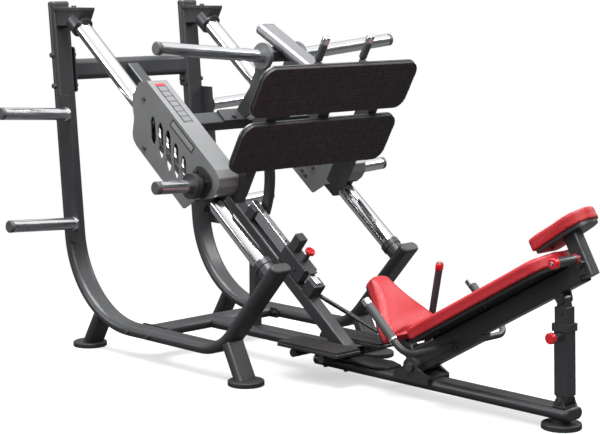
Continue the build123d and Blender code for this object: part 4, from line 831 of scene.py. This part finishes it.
# --------------------------------------------------------------------------
# Step rubbers and pad board screws
# --------------------------------------------------------------------------
for tag, side in SIDES:
    ob = brick_mat("step_rubber_" + tag, 0.320, 0.127, corner=0.008, corner_steps=6,
                   rows=4, blocks=5.0, gap=0.0009, sheet=(0.0, 0.0050, 0.0010),
                   raised=(0.0042, 0.0085, 0.0010), soften=0.0005, material=TREAD_RUBBER,
                   matrix=Matrix.Translation(station(1.108, side * 0.115, 0.13305)))
    attach(ob, "frame", "tread_rubber")

BOARD_SCREW_PROFILE = [(0.0062, 0.0), (0.0064, 0.0012), (0.0050, 0.0036), (0.0030, 0.0040),
                       (0.0028, 0.0022), (0.0004, 0.0021)]


def board_screw(name, origin, axis, body):
    ob = lathe(name, BOARD_SCREW_PROFILE, origin, axis, BOLT_STEEL, steps=20)
    attach(ob, body, "bolt_steel")


for i, along in enumerate((1600.0, 1850.0, 2080.0)):
    for tag, side in (("a", -1), ("b", 1)):
        board_screw(f"board_screw_{i}{tag}", at(BACK, along, BACK_UP, -601.05, side * 92.0),
                    -BACK_UP, "backrest")
for i, along in enumerate((2110.0, 2170.0)):
    board_screw(f"head_screw_{i}", at(HEAD, along, HEAD_UP, -645.05), -HEAD_UP, "headrest")


# --------------------------------------------------------------------------
# Floor, world, lights, camera
# --------------------------------------------------------------------------
def floor_material():
    """Pale to the camera, fading to white around the machine; dark grey to other rays."""
    m = Material("floor_pale")
    m.set({
        "Base Color": m.mix(m.noise(scale=1.5, detail=3.0),
                            (0.86, 0.86, 0.865, 1), (0.89, 0.89, 0.89, 1)),
        "Roughness": 0.6,
    })
    white = m.value("ShaderNodeEmission", {"Color": (1, 1, 1, 1), "Strength": 1.0})
    grey = m.value("ShaderNodeBsdfDiffuse", {"Color": (0.085, 0.085, 0.087, 1)})
    center = (REAR_FEET.x + 1.05, 0.0, 0.0)
    from_center = m.vector_math("DISTANCE", m.coords, center, "Value")
    fade = m.remap(from_center, span=(1.1, 2.0), to=(0.55, 1.0), smooth=True)
    seen = m.value("ShaderNodeMixShader", {0: fade, 1: m.shader.outputs[0], 2: white})
    m.feed(m.output.inputs[0], m.camera_switch(others=grey, camera=seen))
    return m.material


FLOOR_HALF = 30
floor = new_object("floor",
                   [(x * FLOOR_HALF, y * FLOOR_HALF, 0)
                    for x, y in ((-1, -1), (1, -1), (1, 1), (-1, 1))],
                   [(0, 1, 2, 3)], floor_material(), Matrix.Translation((0, 0, -0.0005)))

# (upward component of the direction, brightness) of the surroundings
SKY_STOPS = ((0.0, 0.14), (0.04, 0.10), (0.16, 0.20), (0.34, 0.34), (0.46, 1.15), (0.70, 1.5),
             (1.0, 1.7))


def build_world():
    """Graded studio light; plain white where the camera sees it."""
    world = bpy.data.worlds.new("studio")
    bpy.context.scene.world = world
    world.use_nodes = True
    sky = Nodes(world.node_tree)
    output = sky.add("ShaderNodeOutputWorld")
    direction = sky.value("ShaderNodeTexCoord", output="Generated")
    upward = sky.value("ShaderNodeSeparateXYZ", {0: direction}, 2)
    ramp = sky.add("ShaderNodeValToRGB", {0: upward})
    stops = ramp.color_ramp.elements
    for place, _ in SKY_STOPS[1:-1]:
        stops.new(place)
    for stop, (_, level) in zip(stops, SKY_STOPS):
        stop.color = (level, level, level, 1)
    graded = sky.value("ShaderNodeBackground", {"Color": ramp.outputs[0], "Strength": 0.72})
    white = sky.value("ShaderNodeBackground", {"Color": (1, 1, 1, 1), "Strength": 1.0})
    sky.feed(output.inputs[0], sky.camera_switch(others=graded, camera=white))


def area_light(name, place, target, size, energy):
    light = bpy.data.lights.new(name, "AREA")
    light.energy = energy
    light.shape = "RECTANGLE"
    light.size, light.size_y = size
    ob = bpy.data.objects.new(name, light)
    bpy.context.scene.collection.objects.link(ob)
    ob.location = place
    ob.rotation_euler = (target - place).to_track_quat("-Z", "Y").to_euler()


# name, place and target from the rear feet, size, watts
LIGHTS = (
    ("key", (0.9, -0.5, 5.0), (0.9, 0, 0.4), (3.4, 3.0), 520),
    ("front", (4.8, -2.6, 3.4), (1.0, 0, 0.6), (1.8, 1.8), 95),
    ("left", (-2.5, -4.6, 2.4), (0.7, 0, 0.7), (2.2, 1.8), 85),
    ("rim", (2.5, 4.6, 3.6), (1.0, 0, 0.6), (2.2, 1.2), 110),
)


def build_camera():
    heading, pitch = radians(45.86), radians(8.02)  # heading turns from +Y toward -X
    right = Vector((cos(heading), sin(heading), 0))
    look = Vector((-sin(heading) * cos(pitch), cos(heading) * cos(pitch), -sin(pitch)))
    camera = bpy.data.cameras.new("camera")
    camera.sensor_width = 36.0
    camera.lens = 101.118
    camera.shift_x = 0.00283333
    camera.shift_y = -0.0045
    camera.clip_end = 200
    ob = bpy.data.objects.new("camera", camera)
    bpy.context.scene.collection.objects.link(ob)
    ob.matrix_world = basis(station(5.566, -4.5477, 1.5267), right, right.cross(look), -look)
    bpy.context.scene.camera = ob


build_world()
for name, place, target, size, energy in LIGHTS:
    area_light(name, station(*place), station(*target), size, energy)
build_camera()
bpy.context.scene.view_settings.view_transform = "Standard"
bpy.context.scene.view_settings.look = "None"

bpy.context.view_layer.update()
